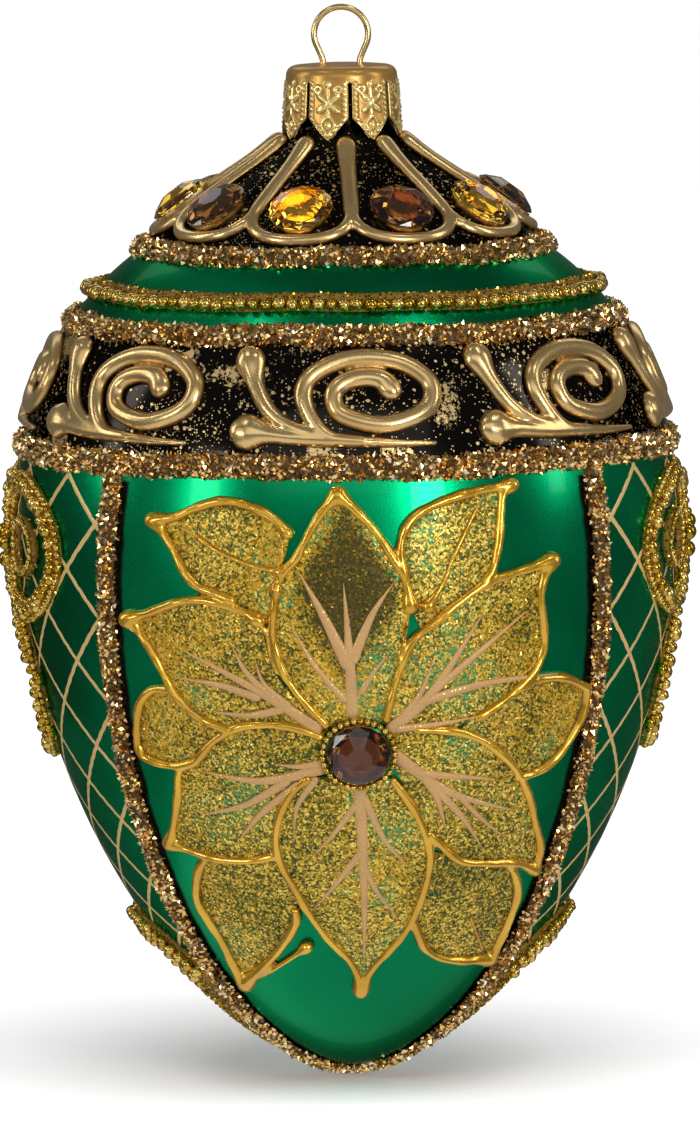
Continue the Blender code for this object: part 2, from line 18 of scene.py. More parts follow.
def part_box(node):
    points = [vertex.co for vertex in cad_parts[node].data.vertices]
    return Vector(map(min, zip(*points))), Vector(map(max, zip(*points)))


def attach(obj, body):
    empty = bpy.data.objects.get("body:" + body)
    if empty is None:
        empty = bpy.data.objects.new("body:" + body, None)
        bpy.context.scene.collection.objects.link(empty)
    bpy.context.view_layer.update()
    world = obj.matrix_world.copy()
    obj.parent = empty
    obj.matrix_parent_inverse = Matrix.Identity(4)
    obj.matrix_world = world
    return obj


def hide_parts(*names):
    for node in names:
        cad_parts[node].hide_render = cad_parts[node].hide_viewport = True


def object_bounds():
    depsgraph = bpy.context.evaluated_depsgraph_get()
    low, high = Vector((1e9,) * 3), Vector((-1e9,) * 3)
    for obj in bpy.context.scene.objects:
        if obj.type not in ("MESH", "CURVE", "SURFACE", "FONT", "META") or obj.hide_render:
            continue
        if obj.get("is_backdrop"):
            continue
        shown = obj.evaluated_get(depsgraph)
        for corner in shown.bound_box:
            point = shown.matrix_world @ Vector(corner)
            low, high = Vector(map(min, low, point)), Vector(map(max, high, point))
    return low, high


bl_info = {
    "name": "Jewelled Egg Ornament",
    "version": (1, 0, 0),
    "blender": (4, 5, 0),
    "location": "3D View > Sidebar > Egg",
    "description": "Dresses the solids of a glass egg with lacquer, gilt relief, glitter and stones",
    "category": "Object",
}

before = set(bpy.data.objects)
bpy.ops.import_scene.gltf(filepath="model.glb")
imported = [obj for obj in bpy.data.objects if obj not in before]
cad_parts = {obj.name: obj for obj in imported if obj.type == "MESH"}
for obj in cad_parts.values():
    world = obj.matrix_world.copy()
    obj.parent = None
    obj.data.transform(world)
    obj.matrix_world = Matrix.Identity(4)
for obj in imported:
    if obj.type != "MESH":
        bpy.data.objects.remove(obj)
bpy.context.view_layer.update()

MM = 0.001

# Heights and sizes of the glass, from the frame and the sizes that shape it
GLASS_LOW, GLASS_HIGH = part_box("glass_egg")
TIP_Z = GLASS_LOW.z
NECK_TOP_Z = GLASS_HIGH.z
EGG_RADIUS = GLASS_HIGH.x
BELT_Z = TIP_Z + 70.1 * MM
RIM_Z = BELT_Z + 36.8 * MM
FLARE_TOP_Z = RIM_Z + 16.9 * MM
UPPER_REACH = 45.0 * MM
NECK_RADIUS = 6.2 * MM
GLASS_WALL = 1.2 * MM
BODY_ROUNDNESS = 1.7
LOWER_FULLNESS = 1.8
UPPER_FULLNESS = 2.4
NECK_PULL = (0.4 * MM, 4.4 * MM)
RIM_PULL = (6.1 * MM, 8.0 * MM)

# Where the trims lie, below the rim
UPPER_BAND_Z = RIM_Z + 0.4 * MM
MIDDLE_BAND_Z = RIM_Z - 8.8 * MM
LOWER_BAND_Z = RIM_Z - 24.9 * MM
STRAND_Z = RIM_Z - 4.7 * MM
FLOWER_Z = RIM_Z - 61.3 * MM
STONE_Z = RIM_Z + 6.0 * MM
JEWEL_Z = RIM_Z - 37.4 * MM
SWAG_Z = RIM_Z - 86.6 * MM
SWAG_DIP = 6.0 * MM
BAND_WIDTH = 3.4 * MM

# The braid runs that part the panels
PANEL_TURN = math.radians(1.7)
PANEL_HALF_SPREAD = math.radians(46)
PANEL_SPREAD_GAIN = math.radians(9)
BRAID_TOP_Z = LOWER_BAND_Z - BAND_WIDTH / 2 - 0.6 * MM

LEFT, RIGHT = -1, 1


# Lines and turns

def unit(vectors):
    """Vectors with their lengths made 1."""
    return vectors / np.linalg.norm(vectors, axis=-1)[..., None]


def full_turn(count):
    """Even angles round a whole turn."""
    return 2 * math.pi * np.arange(count) / count


# Points on the glass

def bezier(t, ends):
    t = np.asarray(t)[:, None]
    a, b, c, d = (np.array(p) for p in ends)
    return (1 - t) ** 3 * a + 3 * (1 - t) ** 2 * t * b + 3 * (1 - t) * t * t * c + t ** 3 * d


def outer_outline(flare_steps, upper_steps, lower_steps):
    """(radius, height) down the outer face of the glass, from the top of the neck to the tip."""
    rim_radius = EGG_RADIUS * math.sqrt(1 - ((RIM_Z - BELT_Z) / UPPER_REACH) ** UPPER_FULLNESS)
    neck, rim = (NECK_RADIUS, FLARE_TOP_Z), (rim_radius, RIM_Z)
    pulls = ((neck[0] + NECK_PULL[0], neck[1] - NECK_PULL[1]), (rim[0] - RIM_PULL[0], rim[1] + RIM_PULL[1]))
    flare = bezier(np.arange(flare_steps) / flare_steps, (neck, *pulls, rim))
    share = math.asin(((RIM_Z - BELT_Z) / UPPER_REACH) ** (UPPER_FULLNESS / 2))
    turn = share * (1 - np.arange(upper_steps) / upper_steps)
    upper = np.stack([EGG_RADIUS * np.cos(turn),
                      BELT_Z + UPPER_REACH * np.sin(turn) ** (2 / UPPER_FULLNESS)], 1)
    turn = math.pi / 2 * np.arange(lower_steps + 1) / lower_steps
    lower = np.stack([EGG_RADIUS * np.maximum(np.cos(turn), 0) ** (2 / BODY_ROUNDNESS),
                      BELT_Z - (BELT_Z - TIP_Z) * np.sin(turn) ** (2 / LOWER_FULLNESS)], 1)
    lower[-1] = (0, TIP_Z)
    return np.concatenate([[(NECK_RADIUS, NECK_TOP_Z)], flare, upper, lower])


OUTLINE = outer_outline(120, 160, 400)
STEPS = unit(np.gradient(OUTLINE, axis=0))
SLOPE = np.stack([-STEPS[:, 1], STEPS[:, 0]], 1)


def glass_at(z):
    """Radius of the glass at a height, and its outward normal as (outwards, upwards)."""
    down = -np.asarray(z, float)
    return [np.interp(down, -OUTLINE[:, 1], column) for column in (OUTLINE[:, 0], *SLOPE.T)]


def on_glass(azimuth, z, lift=0.0):
    """Points at azimuths from the front and heights, lifted off the glass, and the normals there."""
    azimuth, z = np.broadcast_arrays(np.asarray(azimuth, float), np.asarray(z, float))
    radius, out, up = glass_at(z)
    ahead = np.stack([np.sin(azimuth), -np.cos(azimuth), np.zeros_like(azimuth)], -1)
    normal = unit(ahead * out[..., None] + np.array([0, 0, 1.0]) * up[..., None])
    foot = ahead * radius[..., None]
    foot[..., 2] = z
    return foot + normal * np.asarray(lift)[..., None], normal


def on_front(marks, lift=0.0, turn=0.0):
    """Points of the glass that a front view shows at x and z, in millimetres. A turn puts them round the
    egg."""
    marks = np.asarray(marks, float) * MM
    radius = glass_at(marks[:, 1])[0]
    azimuth = np.arcsin(np.clip(marks[:, 0] / radius, -0.999, 0.999))
    return on_glass(azimuth + turn, marks[:, 1], lift)


def half_panel(z):
    """Half the angle that the front panel spans at a height."""
    return PANEL_HALF_SPREAD + PANEL_SPREAD_GAIN * (BRAID_TOP_Z - z) / (BRAID_TOP_Z - TIP_Z)


CURVE_STEPS = 12


def smooth_path(marks, spacing, closed=False):
    """Evenly spaced points on a smooth curve through marks."""
    marks = np.asarray(marks, float)
    if len(marks) == 2:
        marks = np.stack([marks[0], marks.mean(0), marks[1]])
    before, after = (marks[-1:], marks[:2]) if closed else (marks[:1], marks[-1:])
    ends = np.concatenate([before, marks, after])
    points = []
    for k in range(len(ends) - 3):
        a, b, c, d = ends[k:k + 4]
        for t in np.arange(CURVE_STEPS) / CURVE_STEPS:
            points.append(0.5 * (2 * b + (c - a) * t + (2 * a - 5 * b + 4 * c - d) * t * t
                                 + (3 * b - a - 3 * c + d) * t ** 3))
    points.append(points[0] if closed else marks[-1])
    points = np.array(points)
    along = np.concatenate([[0], np.cumsum(np.linalg.norm(np.diff(points, axis=0), axis=1))])
    count = max(int(along[-1] / spacing), 4)
    where = np.linspace(0, along[-1], count + 1)[:-1 if closed else None]
    return np.stack([np.interp(where, along, points[:, k]) for k in range(points.shape[1])], 1)


# Closed shells

def placed(name, data):
    """A new object in the scene."""
    item = bpy.data.objects.new(name, data)
    bpy.context.scene.collection.objects.link(item)
    return item


class Shells:
    """Gathers closed shells and turns them into one mesh."""

    def __init__(self):
        self.points, self.faces, self.crumbs, self.count = [], [], [], 0

    def add(self, points, faces, crumbs=None):
        """crumbs says for each face whether granules stick to it."""
        self.points.append(np.asarray(points))
        self.faces += [tuple(self.count + c for c in face) for face in faces]
        self.crumbs += crumbs if crumbs is not None else [1.0] * len(faces)
        self.count += len(points)

    def sweep(self, path, normals, half_width, height, sides=8, sink=0.1 * MM, closed=False):
        """A tube laid on a surface: a dome in section, with its back a little sunk and its ends rounded."""
        count = len(path)
        half_width = np.broadcast_to(half_width, count).astype(float)
        height = np.broadcast_to(height, count).astype(float)
        if closed:
            tangent = np.roll(path, -1, 0) - np.roll(path, 1, 0)
        else:
            tangent = np.gradient(path, axis=0)
        tangent = unit(tangent)
        if not closed:
            turns = np.radians([85, 60, 30])
            for end, sign in ((0, -1), (-1, 1)):
                order = turns if end == 0 else turns[::-1]
                shift = tangent[end] * sign * half_width[end]
                extra = np.array([path[end] + shift * math.sin(t) for t in order])
                narrow = np.cos(order)
                parts = [(extra, path), (np.repeat(normals[end:][:1], 3, 0), normals),
                         (np.repeat(tangent[end:][:1], 3, 0), tangent),
                         (half_width[end] * narrow, half_width), (height[end] * narrow ** 0.6, height)]
                if end == -1:
                    parts = [(b, a) for a, b in parts]
                path, normals, tangent, half_width, height = (np.concatenate(p) for p in parts)
        side = unit(np.cross(normals, tangent))
        turn = np.linspace(0, math.pi, sides)
        across, up = np.cos(turn), np.sin(turn)
        rings = (path[:, None] + side[:, None] * (half_width[:, None] * across)[..., None]
                 + normals[:, None] * (height[:, None] * up - sink)[..., None])
        total = len(path)
        faces, crumbs = [], []
        for k in range(total if closed else total - 1):
            near, far = k * sides, (k + 1) % total * sides
            for c in range(sides):
                d = (c + 1) % sides
                faces.append((near + c, near + d, far + d, far + c))
                crumbs.append(0.0 if c == sides - 1 else 1.0)
        if not closed:
            faces += [tuple(range(sides)), tuple(range((total - 1) * sides, total * sides))]
            crumbs += [0.0, 0.0]
        self.add(rings.reshape(-1, 3), faces, crumbs)

    def plate(self, top, bottom, triangles):
        """A thin plate between two sheets of points with the same triangles."""
        count = len(top)
        edges = {}
        for face in triangles:
            for a, b in zip(face, face[1:] + face[:1]):
                edges[(a, b)] = edges.get((b, a), 0) + 1
        rims = [(a, b) for (a, b) in edges if (b, a) not in edges]
        faces = list(triangles) + [tuple(count + c for c in reversed(face)) for face in triangles]
        faces += [(b, a, count + a, count + b) for a, b in rims]
        crumbs = [1.0] * len(triangles) + [0.0] * (len(faces) - len(triangles))
        self.add(np.concatenate([top, bottom]), faces, crumbs)

    def build(self, name, *materials, smooth=True, sharp=None):
        mesh = bpy.data.meshes.new(name)
        mesh.from_pydata(np.concatenate(self.points).tolist(), [], self.faces)
        mesh.attributes.new("crumb", "FLOAT", "FACE").data.foreach_set("value", self.crumbs)
        shell = bmesh.new()
        shell.from_mesh(mesh)
        bmesh.ops.recalc_face_normals(shell, faces=shell.faces)
        shell.to_mesh(mesh)
        shell.free()
        if smooth:
            mesh.shade_smooth()
        if sharp:
            mesh.set_sharp_from_angle(angle=sharp)
        for material in materials:
            mesh.materials.append(material)
        return placed(name, mesh)


def lathe(profile, columns):
    """Points and faces of a profile of (radius, height) turned about the axis. Its ends lie on the axis."""
    points, rings = [], []
    turn = full_turn(columns)
    for radius, z in profile:
        first = len(points)
        if radius < 1e-7:
            points.append((0, 0, z))
            rings.append([first] * columns)
        else:
            points += [(radius * math.sin(a), -radius * math.cos(a), z) for a in turn]
            rings.append(list(range(first, first + columns)))
    faces = []
    for near, far in zip(rings, rings[1:]):
        for k in range(columns):
            n = (k + 1) % columns
            corners = list(dict.fromkeys((near[k], near[n], far[n], far[k])))
            faces.append(tuple(corners))
    return np.array(points), faces


def settled(item, *materials):
    """Works an object's modifiers into its mesh and gives it its finishes."""
    graph = bpy.context.evaluated_depsgraph_get()
    mesh = bpy.data.meshes.new_from_object(item.evaluated_get(graph))
    item.modifiers.clear()
    item.data = mesh
    if materials:
        mesh.materials.clear()
        for material in materials:
            mesh.materials.append(material)
    return item


THINNED = 0.26
FULL_RELIEF = 1.2 * MM


def melted(item, grain, rounds, material):
    """Shells that cross run into one another, as gel and cast relief do. Each point keeps its height off the
    glass."""
    melt = item.modifiers.new("Melt", "REMESH")
    melt.mode = "VOXEL"
    melt.voxel_size = grain
    melt.use_smooth_shade = True
    ease = item.modifiers.new("Ease", "SMOOTH")
    ease.factor = 0.5
    ease.iterations = rounds
    thin = item.modifiers.new("Thin", "DECIMATE")
    thin.ratio = THINNED
    mesh = settled(item, material).data
    points = np.empty(len(mesh.vertices) * 3, np.float32)
    mesh.vertices.foreach_get("co", points)
    x, y, z = points.reshape(-1, 3).T
    radius, out, _ = glass_at(z)
    risen = np.clip((np.hypot(x, y) - radius) * out / FULL_RELIEF, 0, 1)
    mesh.attributes.new("height", "FLOAT", "POINT").data.foreach_set("value", risen)
    return item


def fit(piece, slot, *nodes):
    """The piece rides on the ornament's one body, and stands for its solids."""
    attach(piece, "root")
    if nodes:
        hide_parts(*nodes)
    return piece


# Node trees

class Reading:
    """One output of a node, which takes Python's operators as Math nodes."""

    def __init__(self, board, node, socket):
        self.board, self.node, self.socket = board, node, socket

    def of(self, name):
        """Another output of the same node."""
        socket = next(s for s in self.node.outputs if s.name == name and s.enabled)
        return Reading(self.board, self.node, socket)

    def maths(self, operation, *others):
        return self.board.add("ShaderNodeMath", {"operation": operation}, [self, *others])

    def __add__(self, other):
        return self.maths("ADD", other)

    def __mul__(self, other):
        return self.maths("MULTIPLY", other)

    def __sub__(self, other):
        return self.maths("SUBTRACT", other)

    def __rsub__(self, other):
        return self.board.add("ShaderNodeMath", {"operation": "SUBTRACT"}, [other, self])

    def __rtruediv__(self, other):
        return self.board.add("ShaderNodeMath", {"operation": "DIVIDE"}, [other, self])

    def __abs__(self):
        return self.maths("ABSOLUTE")

    def __lt__(self, other):
        return self.maths("LESS_THAN", other)

    def __gt__(self, other):
        return self.maths("GREATER_THAN", other)

    __radd__ = __add__
    __rmul__ = __mul__

    def most(self, other):
        return self.maths("MAXIMUM", other)

    def least(self, other):
        return self.maths("MINIMUM", other)

    def rise(self, low, high):
        """0 below low, 1 above high and smooth between. High may be the lower number."""
        return self.board.add("ShaderNodeMapRange", {"interpolation_type": "SMOOTHSTEP"},
                              {"Value": self, "From Min": low, "From Max": high})


class Board:
    """A node tree that is built one node at a time."""

    def __init__(self, tree):
        self.tree = tree

    def add(self, kind, settings=None, values=None):
        """A node of a kind, with its settings made first and then its sockets set or linked."""
        node = self.tree.nodes.new(kind)
        for key, value in (settings or {}).items():
            if key == "stops":
                self.set_stops(node.color_ramp, value)
            else:
                setattr(node, key, value)
        inputs = [s for s in node.inputs if s.enabled]
        pairs = values.items() if isinstance(values, dict) else enumerate(values or [])
        for key, value in pairs:
            socket = inputs[key] if isinstance(key, int) else next(s for s in inputs if s.name == key)
            self.feed(socket, value)
        outputs = [s for s in node.outputs if s.enabled]
        return Reading(self, node, outputs[0]) if outputs else node

    def set_stops(self, ramp, stops):
        while len(ramp.elements) < len(stops):
            ramp.elements.new(0.5)
        for element, (place, colour) in zip(ramp.elements, stops):
            element.position = place
            element.color = (*colour, 1.0)

    def feed(self, socket, value):
        if isinstance(value, list):
            for part in value:
                self.feed(socket, part)
        elif isinstance(value, Reading):
            self.tree.links.new(value.socket, socket)
        elif socket.type == "RGBA" and len(value) == 3:
            socket.default_value = (*value, 1.0)
        else:
            socket.default_value = value


class Finish(Board):
    """A Principled finish whose plain values are set on the shader itself."""

    def __init__(self, name, **values):
        self.material = bpy.data.materials.new(name)
        self.material.use_nodes = True
        super().__init__(self.material.node_tree)
        self.shader = self.tree.nodes["Principled BSDF"]
        for key, value in values.items():
            self.set(key.replace("_", " "), value)

    def set(self, name, value):
        self.feed(self.shader.inputs[name], value)

    def place(self):
        return self.add("ShaderNodeTexCoord").of("Object")

    def noise(self, scale, detail=2.0, roughness=0.5):
        return self.add("ShaderNodeTexNoise", None,
                        {"Vector": self.place(), "Scale": scale, "Detail": detail, "Roughness": roughness})

    def cells(self, scale):
        return self.add("ShaderNodeTexVoronoi", None, {"Vector": self.place(), "Scale": scale})

    def ramp(self, value, *stops):
        return self.add("ShaderNodeValToRGB", {"stops": stops}, [value])

    def mix(self, share, first, second):
        return self.add("ShaderNodeMix", {"data_type": "RGBA"}, {"Factor": share, "A": first, "B": second})

    def tone(self):
        """The chance number that each granule or bead carries."""
        return self.add("ShaderNodeAttribute", {"attribute_name": "tone"}).of("Fac")

    def height(self):
        """How far a point of a raised piece stands off its ground, from 0 to 1."""
        return self.add("ShaderNodeAttribute", {"attribute_name": "height"}).of("Fac")

    def bump(self, height, strength, depth):
        self.set("Normal", self.add("ShaderNodeBump", None,
                                    {"Strength": strength, "Distance": depth, "Height": height}))


class Kit(Board):
    """A Geometry Nodes tree with named inputs, which runs on one object and leaves a plain mesh."""

    def __init__(self, name, **inputs):
        tree = bpy.data.node_groups.new(name, "GeometryNodeTree")
        super().__init__(tree)
        tree.interface.new_socket("Geometry", in_out="INPUT", socket_type="NodeSocketGeometry")
        tree.interface.new_socket("Geometry", in_out="OUTPUT", socket_type="NodeSocketGeometry")
        self.names = {}
        for key, kind in inputs.items():
            label = key.replace("_", " ").title()
            socket = tree.interface.new_socket(label, in_out="INPUT", socket_type="NodeSocket" + kind)
            self.names[key] = socket.identifier
        self.entry = tree.nodes.new("NodeGroupInput")

    def given(self, label):
        return Reading(self, self.entry, next(s for s in self.entry.outputs if s.name == label))

    def chance(self, low, high, seed_shift, kind="FLOAT"):
        """A random value for each point."""
        seed = self.add("ShaderNodeMath", {"operation": "ADD"}, [self.given("Seed"), seed_shift])
        return self.add("FunctionNodeRandomValue", {"data_type": kind},
                        {"Min": low, "Max": high, "Seed": seed})

    def end(self, geometry):
        self.add("NodeGroupOutput", None, [geometry])

    def run(self, item, **values):
        """Runs the tree on an object with these inputs."""
        modifier = item.modifiers.new(self.tree.name, "NODES")
        modifier.node_group = self.tree
        for key, value in values.items():
            modifier[self.names[key]] = value
        return settled(item)


def crumb_kit(rounded):
    """Granules stuck all over the faces that carry the crumb mark, each with its own turn, size and tone.
    They are nuggets of a few small faces or three-sided slivers that lie flat."""
    kit = Kit("Nugget coat" if rounded else "Sliver coat", spacing="Float", crumb_size="Vector", tilt="Float",
              seed="Int", base_finish="Material", crumb_finish="Material")
    body = kit.given("Geometry")
    sticks = kit.add("GeometryNodeInputNamedAttribute", {"data_type": "FLOAT"}, {"Name": "crumb"})
    spacing = kit.given("Spacing")
    spread = kit.add("GeometryNodeDistributePointsOnFaces", {"distribute_method": "POISSON"},
                     {"Mesh": body, "Distance Min": spacing, "Density Max": 1.6 / (spacing * spacing),
                      "Density Factor": sticks, "Seed": kit.given("Seed")})
    tilt = kit.given("Tilt")
    lean = kit.add("ShaderNodeCombineXYZ", None,
                   [kit.chance(tilt * -1.0, tilt, 3), kit.chance(tilt * -1.0, tilt, 5),
                    kit.chance(0.0, 2 * math.pi, 7)])
    turn = kit.add("FunctionNodeRotateRotation", {"rotation_space": "LOCAL"},
                   {"Rotation": spread.of("Rotation"), "Rotate By": lean})
    if rounded:
        lying = kit.add("GeometryNodeMeshUVSphere", None, {"Segments": 5, "Rings": 2, "Radius": 0.62})
    else:
        cone = kit.add("GeometryNodeMeshCone", None,
                       {"Vertices": 3, "Radius Top": 0.0, "Radius Bottom": 0.6, "Depth": 1.0})
        lying = kit.add("GeometryNodeTransform", None,
                        {"Geometry": cone, "Translation": (-0.5, 0.0, 0.0),
                         "Rotation": (0.0, math.pi / 2, 0.0)})
    crumb = kit.add("GeometryNodeTransform", None, {"Geometry": lying, "Scale": kit.given("Crumb Size")})
    size = kit.chance((0.6, 0.6, 0.6), (1.3, 1.3, 1.3), 11, "FLOAT_VECTOR")
    laid = kit.add("GeometryNodeInstanceOnPoints", None,
                   {"Points": spread, "Instance": crumb, "Rotation": turn, "Scale": size})
    toned = kit.add("GeometryNodeStoreNamedAttribute", {"data_type": "FLOAT", "domain": "INSTANCE"},
                    {"Geometry": laid, "Name": "tone", "Value": kit.chance(0.0, 1.0, 13)})
    real = kit.add("GeometryNodeRealizeInstances", None, {"Geometry": toned})
    coat = kit.add("GeometryNodeSetMaterial", None, {"Geometry": real, "Material": kit.given("Crumb Finish")})
    core = kit.add("GeometryNodeSetMaterial", None, {"Geometry": body, "Material": kit.given("Base Finish")})
    kit.end(kit.add("GeometryNodeJoinGeometry", None, [[coat, core]]))
    return kit


def bead_kit():
    """Beads threaded along lines. Rough makes them uneven in size and jitter moves them off the line."""
    kit = Kit("Bead row", pitch="Float", bead="Float", rough="Float", jitter="Float", seed="Int",
              finish="Material")
    line = kit.add("GeometryNodeMeshToCurve", None, {"Mesh": kit.given("Geometry")})
    even = kit.add("GeometryNodeResampleCurve", {"mode": "LENGTH"},
                   {"Curve": line, "Length": kit.given("Pitch")})
    jitter, rough = kit.given("Jitter"), kit.given("Rough")
    spots = kit.add("GeometryNodeSetPosition", None,
                    {"Geometry": even, "Offset": kit.chance(jitter * -1.0, jitter, 8, "FLOAT_VECTOR")})
    ball = kit.add("GeometryNodeMeshUVSphere", None, {"Segments": 8, "Rings": 6, "Radius": kit.given("Bead")})
    smooth = kit.add("GeometryNodeSetShadeSmooth", None, {"Geometry": ball})
    laid = kit.add("GeometryNodeInstanceOnPoints", None,
                   {"Points": spots, "Instance": smooth,
                    "Scale": kit.chance(1.0 - rough, rough * 0.6 + 1.0, 2, "FLOAT_VECTOR"),
                    "Rotation": kit.chance((0.0, 0.0, 0.0), (6.0, 6.0, 6.0), 4, "FLOAT_VECTOR")})
    toned = kit.add("GeometryNodeStoreNamedAttribute", {"data_type": "FLOAT", "domain": "INSTANCE"},
                    {"Geometry": laid, "Name": "tone", "Value": kit.chance(0.0, 1.0, 6)})
    real = kit.add("GeometryNodeRealizeInstances", None, {"Geometry": toned})
    kit.end(kit.add("GeometryNodeSetMaterial", None, {"Geometry": real, "Material": kit.given("Finish")}))
    return kit


class Workshop:
    """The kits and finishes that several pieces share, made when they are first asked for."""

    def __init__(self):
        self.kept = {}

    def ask(self, maker, *details):
        key = (maker.__name__, *details)
        if key not in self.kept:
            self.kept[key] = maker(*details)
        return self.kept[key]


SHOP = Workshop()


def crumbed(item, spacing, size, base, coat, seed, tilt=math.pi, rounded=True):
    """Coats an object with granules of a size, in metres along each side."""
    return SHOP.ask(crumb_kit, rounded).run(item, spacing=spacing, crumb_size=size, tilt=tilt, seed=seed,
                                            base_finish=base, crumb_finish=coat)


def braid_crumbed(item, sizes, colours, seed):
    """Coats an object with the granules of the glitter braid."""
    side = sizes.granule
    return crumbed(item, sizes.granule_spacing, (side * 1.25, side * 0.8, side * 0.8),
                   SHOP.ask(braid_core, colours), SHOP.ask(braid_crumb, colours), seed)


def gold_crumbed(item, spacing, size, colours, seed):
    """Coats an object with fine gold crumbs."""
    return crumbed(item, spacing, size, SHOP.ask(gold_core, colours), SHOP.ask(gold_crumb, colours), seed)


def beaded(name, lines, pitch, bead, finish, seed=1, rough=0.1, jitter=0.0):
    """Beads along lines of points. A line whose ends meet is given closed as True."""
    points, edges = [], []
    for line, closed in lines:
        first, count = len(points), len(line)
        points += line.tolist()
        edges += [(first + k, first + k + 1) for k in range(count - 1)]
        edges += [(first + count - 1, first)] * closed
    mesh = bpy.data.meshes.new(name)
    mesh.from_pydata(points, edges, [])
    return SHOP.ask(bead_kit).run(placed(name, mesh), pitch=pitch, bead=bead, rough=rough, jitter=jitter,
                                  seed=seed, finish=finish)


def joined(name, items):
    """Several plain meshes as one object."""
    bpy.ops.object.select_all(action="DESELECT")
    for item in items:
        item.select_set(True)
    bpy.context.view_layer.objects.active = items[0]
    bpy.ops.object.join()
    items[0].name = items[0].data.name = name
    return items[0]


# Finishes

def lacquered_glass(colours):
    """Silvered glass under green lacquer, with black enamel on the flare and the frieze, and painted shade in
    black along the panels' edges, beside the braid."""
    finish = Finish("Lacquered_Glass", Coat_Roughness=0.03, IOR=1.5, Specular_Tint=(0.33, 0.36, 0.34))
    x, y, z = (finish.add("ShaderNodeSeparateXYZ", None, [finish.place()]).of(axis) for axis in "XYZ")
    azimuth = x.maths("ARCTAN2", y * -1.0)
    radius = (x * x + y * y).maths("SQRT")
    # Painted shade: a ragged black line just inside each panel's edge, along the braid.
    fold = abs(azimuth - PANEL_TURN)
    fold = fold.least(math.pi - fold)
    spread = (BRAID_TOP_Z - z) * (PANEL_SPREAD_GAIN / (BRAID_TOP_Z - TIP_Z)) + PANEL_HALF_SPREAD
    ragged = (finish.noise(260.0, 3.0) - 0.5) * (1.1 * MM)
    inwards = (spread - fold) * radius + ragged
    line = inwards.rise(3.1 * MM, 2.4 * MM) * (z < BRAID_TOP_Z) * (inwards > 0.0)
    flare = z.rise(RIM_Z - 0.2 * MM, RIM_Z + 0.2 * MM)
    above = z.rise(LOWER_BAND_Z - 0.2 * MM, LOWER_BAND_Z + 0.2 * MM)
    frieze = above * z.rise(MIDDLE_BAND_Z + 0.2 * MM, MIDDLE_BAND_Z - 0.2 * MM)
    enamel = flare.most(frieze)
    # black is the enamel together with the painted shade along the braid
    black = enamel.most(line)
    # Leaf flecks: single specks everywhere on the enamel, and torn patches in the frieze
    cells = finish.cells(1500.0)
    chance = finish.add("ShaderNodeSeparateColor", None, [cells.of("Color")])
    crowd = finish.noise(75.0, 2.0).rise(0.38, 0.66)
    specks = (cells < chance.of("Green") * 0.32 + 0.10) * (chance.of("Red") < crowd * 0.40 + 0.12)
    dust = finish.cells(3600.0)
    few = finish.add("ShaderNodeSeparateColor", None, [dust.of("Color")])
    specks = specks.most((dust < 0.34) * (few.of("Red") < crowd * 0.30 + 0.05))
    patch = finish.noise(88.0, 1.0).rise(0.54, 0.66) * frieze
    torn = (finish.noise(1300.0, 5.0, 0.8) > 0.74 - patch * 0.27) * patch.rise(0.02, 0.2)
    leaf = specks.most(torn) * enamel
    deep = finish.noise(28.0, 2.0).rise(0.3, 0.75)
    green = finish.mix(deep, colours.lacquer_deep, colours.lacquer)
    dark = finish.mix(black, green, colours.enamel)
    finish.set("Base Color", finish.mix(leaf, dark, colours.leaf))
    finish.set("Metallic", 1.0 - deep * 0.06)
    finish.set("Roughness", finish.noise(400.0, 3.0) * 0.06 + 0.24 - black * 0.15 + leaf * 0.25)
    finish.set("Coat Weight", 0.1 - black * 0.1)
    finish.bump(leaf * (finish.noise(1700.0, 3.0) * 1.6) + finish.noise(160.0, 2.0) * 0.2, 0.6, 0.06 * MM)
    return finish.material


def gilt(colours):
    """Antique gilding on cast relief: satin, with painted shade in thin brown in the hollows along its foot
    on the glass.
    """
    finish = Finish("Antique_Gilt", Metallic=0.97)
    worn = finish.noise(160.0, 3.0, 0.5).rise(0.35, 0.75)
    broad = finish.noise(60.0, 2.0)
    # Painted shade: the relief turns dark brown towards its foot on the glass.
    foot = finish.height().rise(0.62, 0.06)
    gold = finish.mix(worn * 0.5 + broad * 0.25, colours.relief, colours.relief_dark)
    finish.set("Base Color", finish.mix(foot, gold, colours.braid_dark))
    finish.set("Roughness", worn * 0.06 + foot * 0.12 + 0.25)
    finish.bump(finish.noise(220.0, 2.0), 0.15, 0.06 * MM)
    return finish.material


def granules(name, dark, middle, bright):
    """Glittering crumbs whose colour runs from dark to bright by chance."""
    finish = Finish(name, Metallic=1.0)
    tone = finish.tone()
    finish.set("Base Color", finish.ramp(tone, (0.0, dark), (0.4, middle), (0.75, middle), (1.0, bright)))
    finish.set("Roughness", tone * -0.08 + 0.18)
    return finish.material


def braid_crumb(colours):
    return granules("Braid_Granules", colours.braid_dark, colours.braid, colours.braid_bright)


def glue_bed(name, light, dark):
    """The grainy bed that shows between granules. Its dark colour is partly the glue's and partly painted
    shade in the gaps.
    """
    finish = Finish(name, Metallic=0.5)
    grain = finish.cells(2400.0)
    finish.set("Base Color", finish.mix(grain.rise(0.0, 0.3), light, dark))
    finish.set("Roughness", finish.noise(1500.0) * 0.2 + 0.4)
    finish.bump(grain, 0.8, 0.12 * MM)
    return finish.material


def braid_core(colours):
    # Painted shade: this bed is made darker than the darkest granules, for the gaps between them.
    return glue_bed("Braid_Bed", colours.braid_dark, tuple(c * 0.35 for c in colours.braid_dark))


def gold_core(colours):
    return glue_bed("Gold_Bed", colours.bead, colours.crumb_dark)


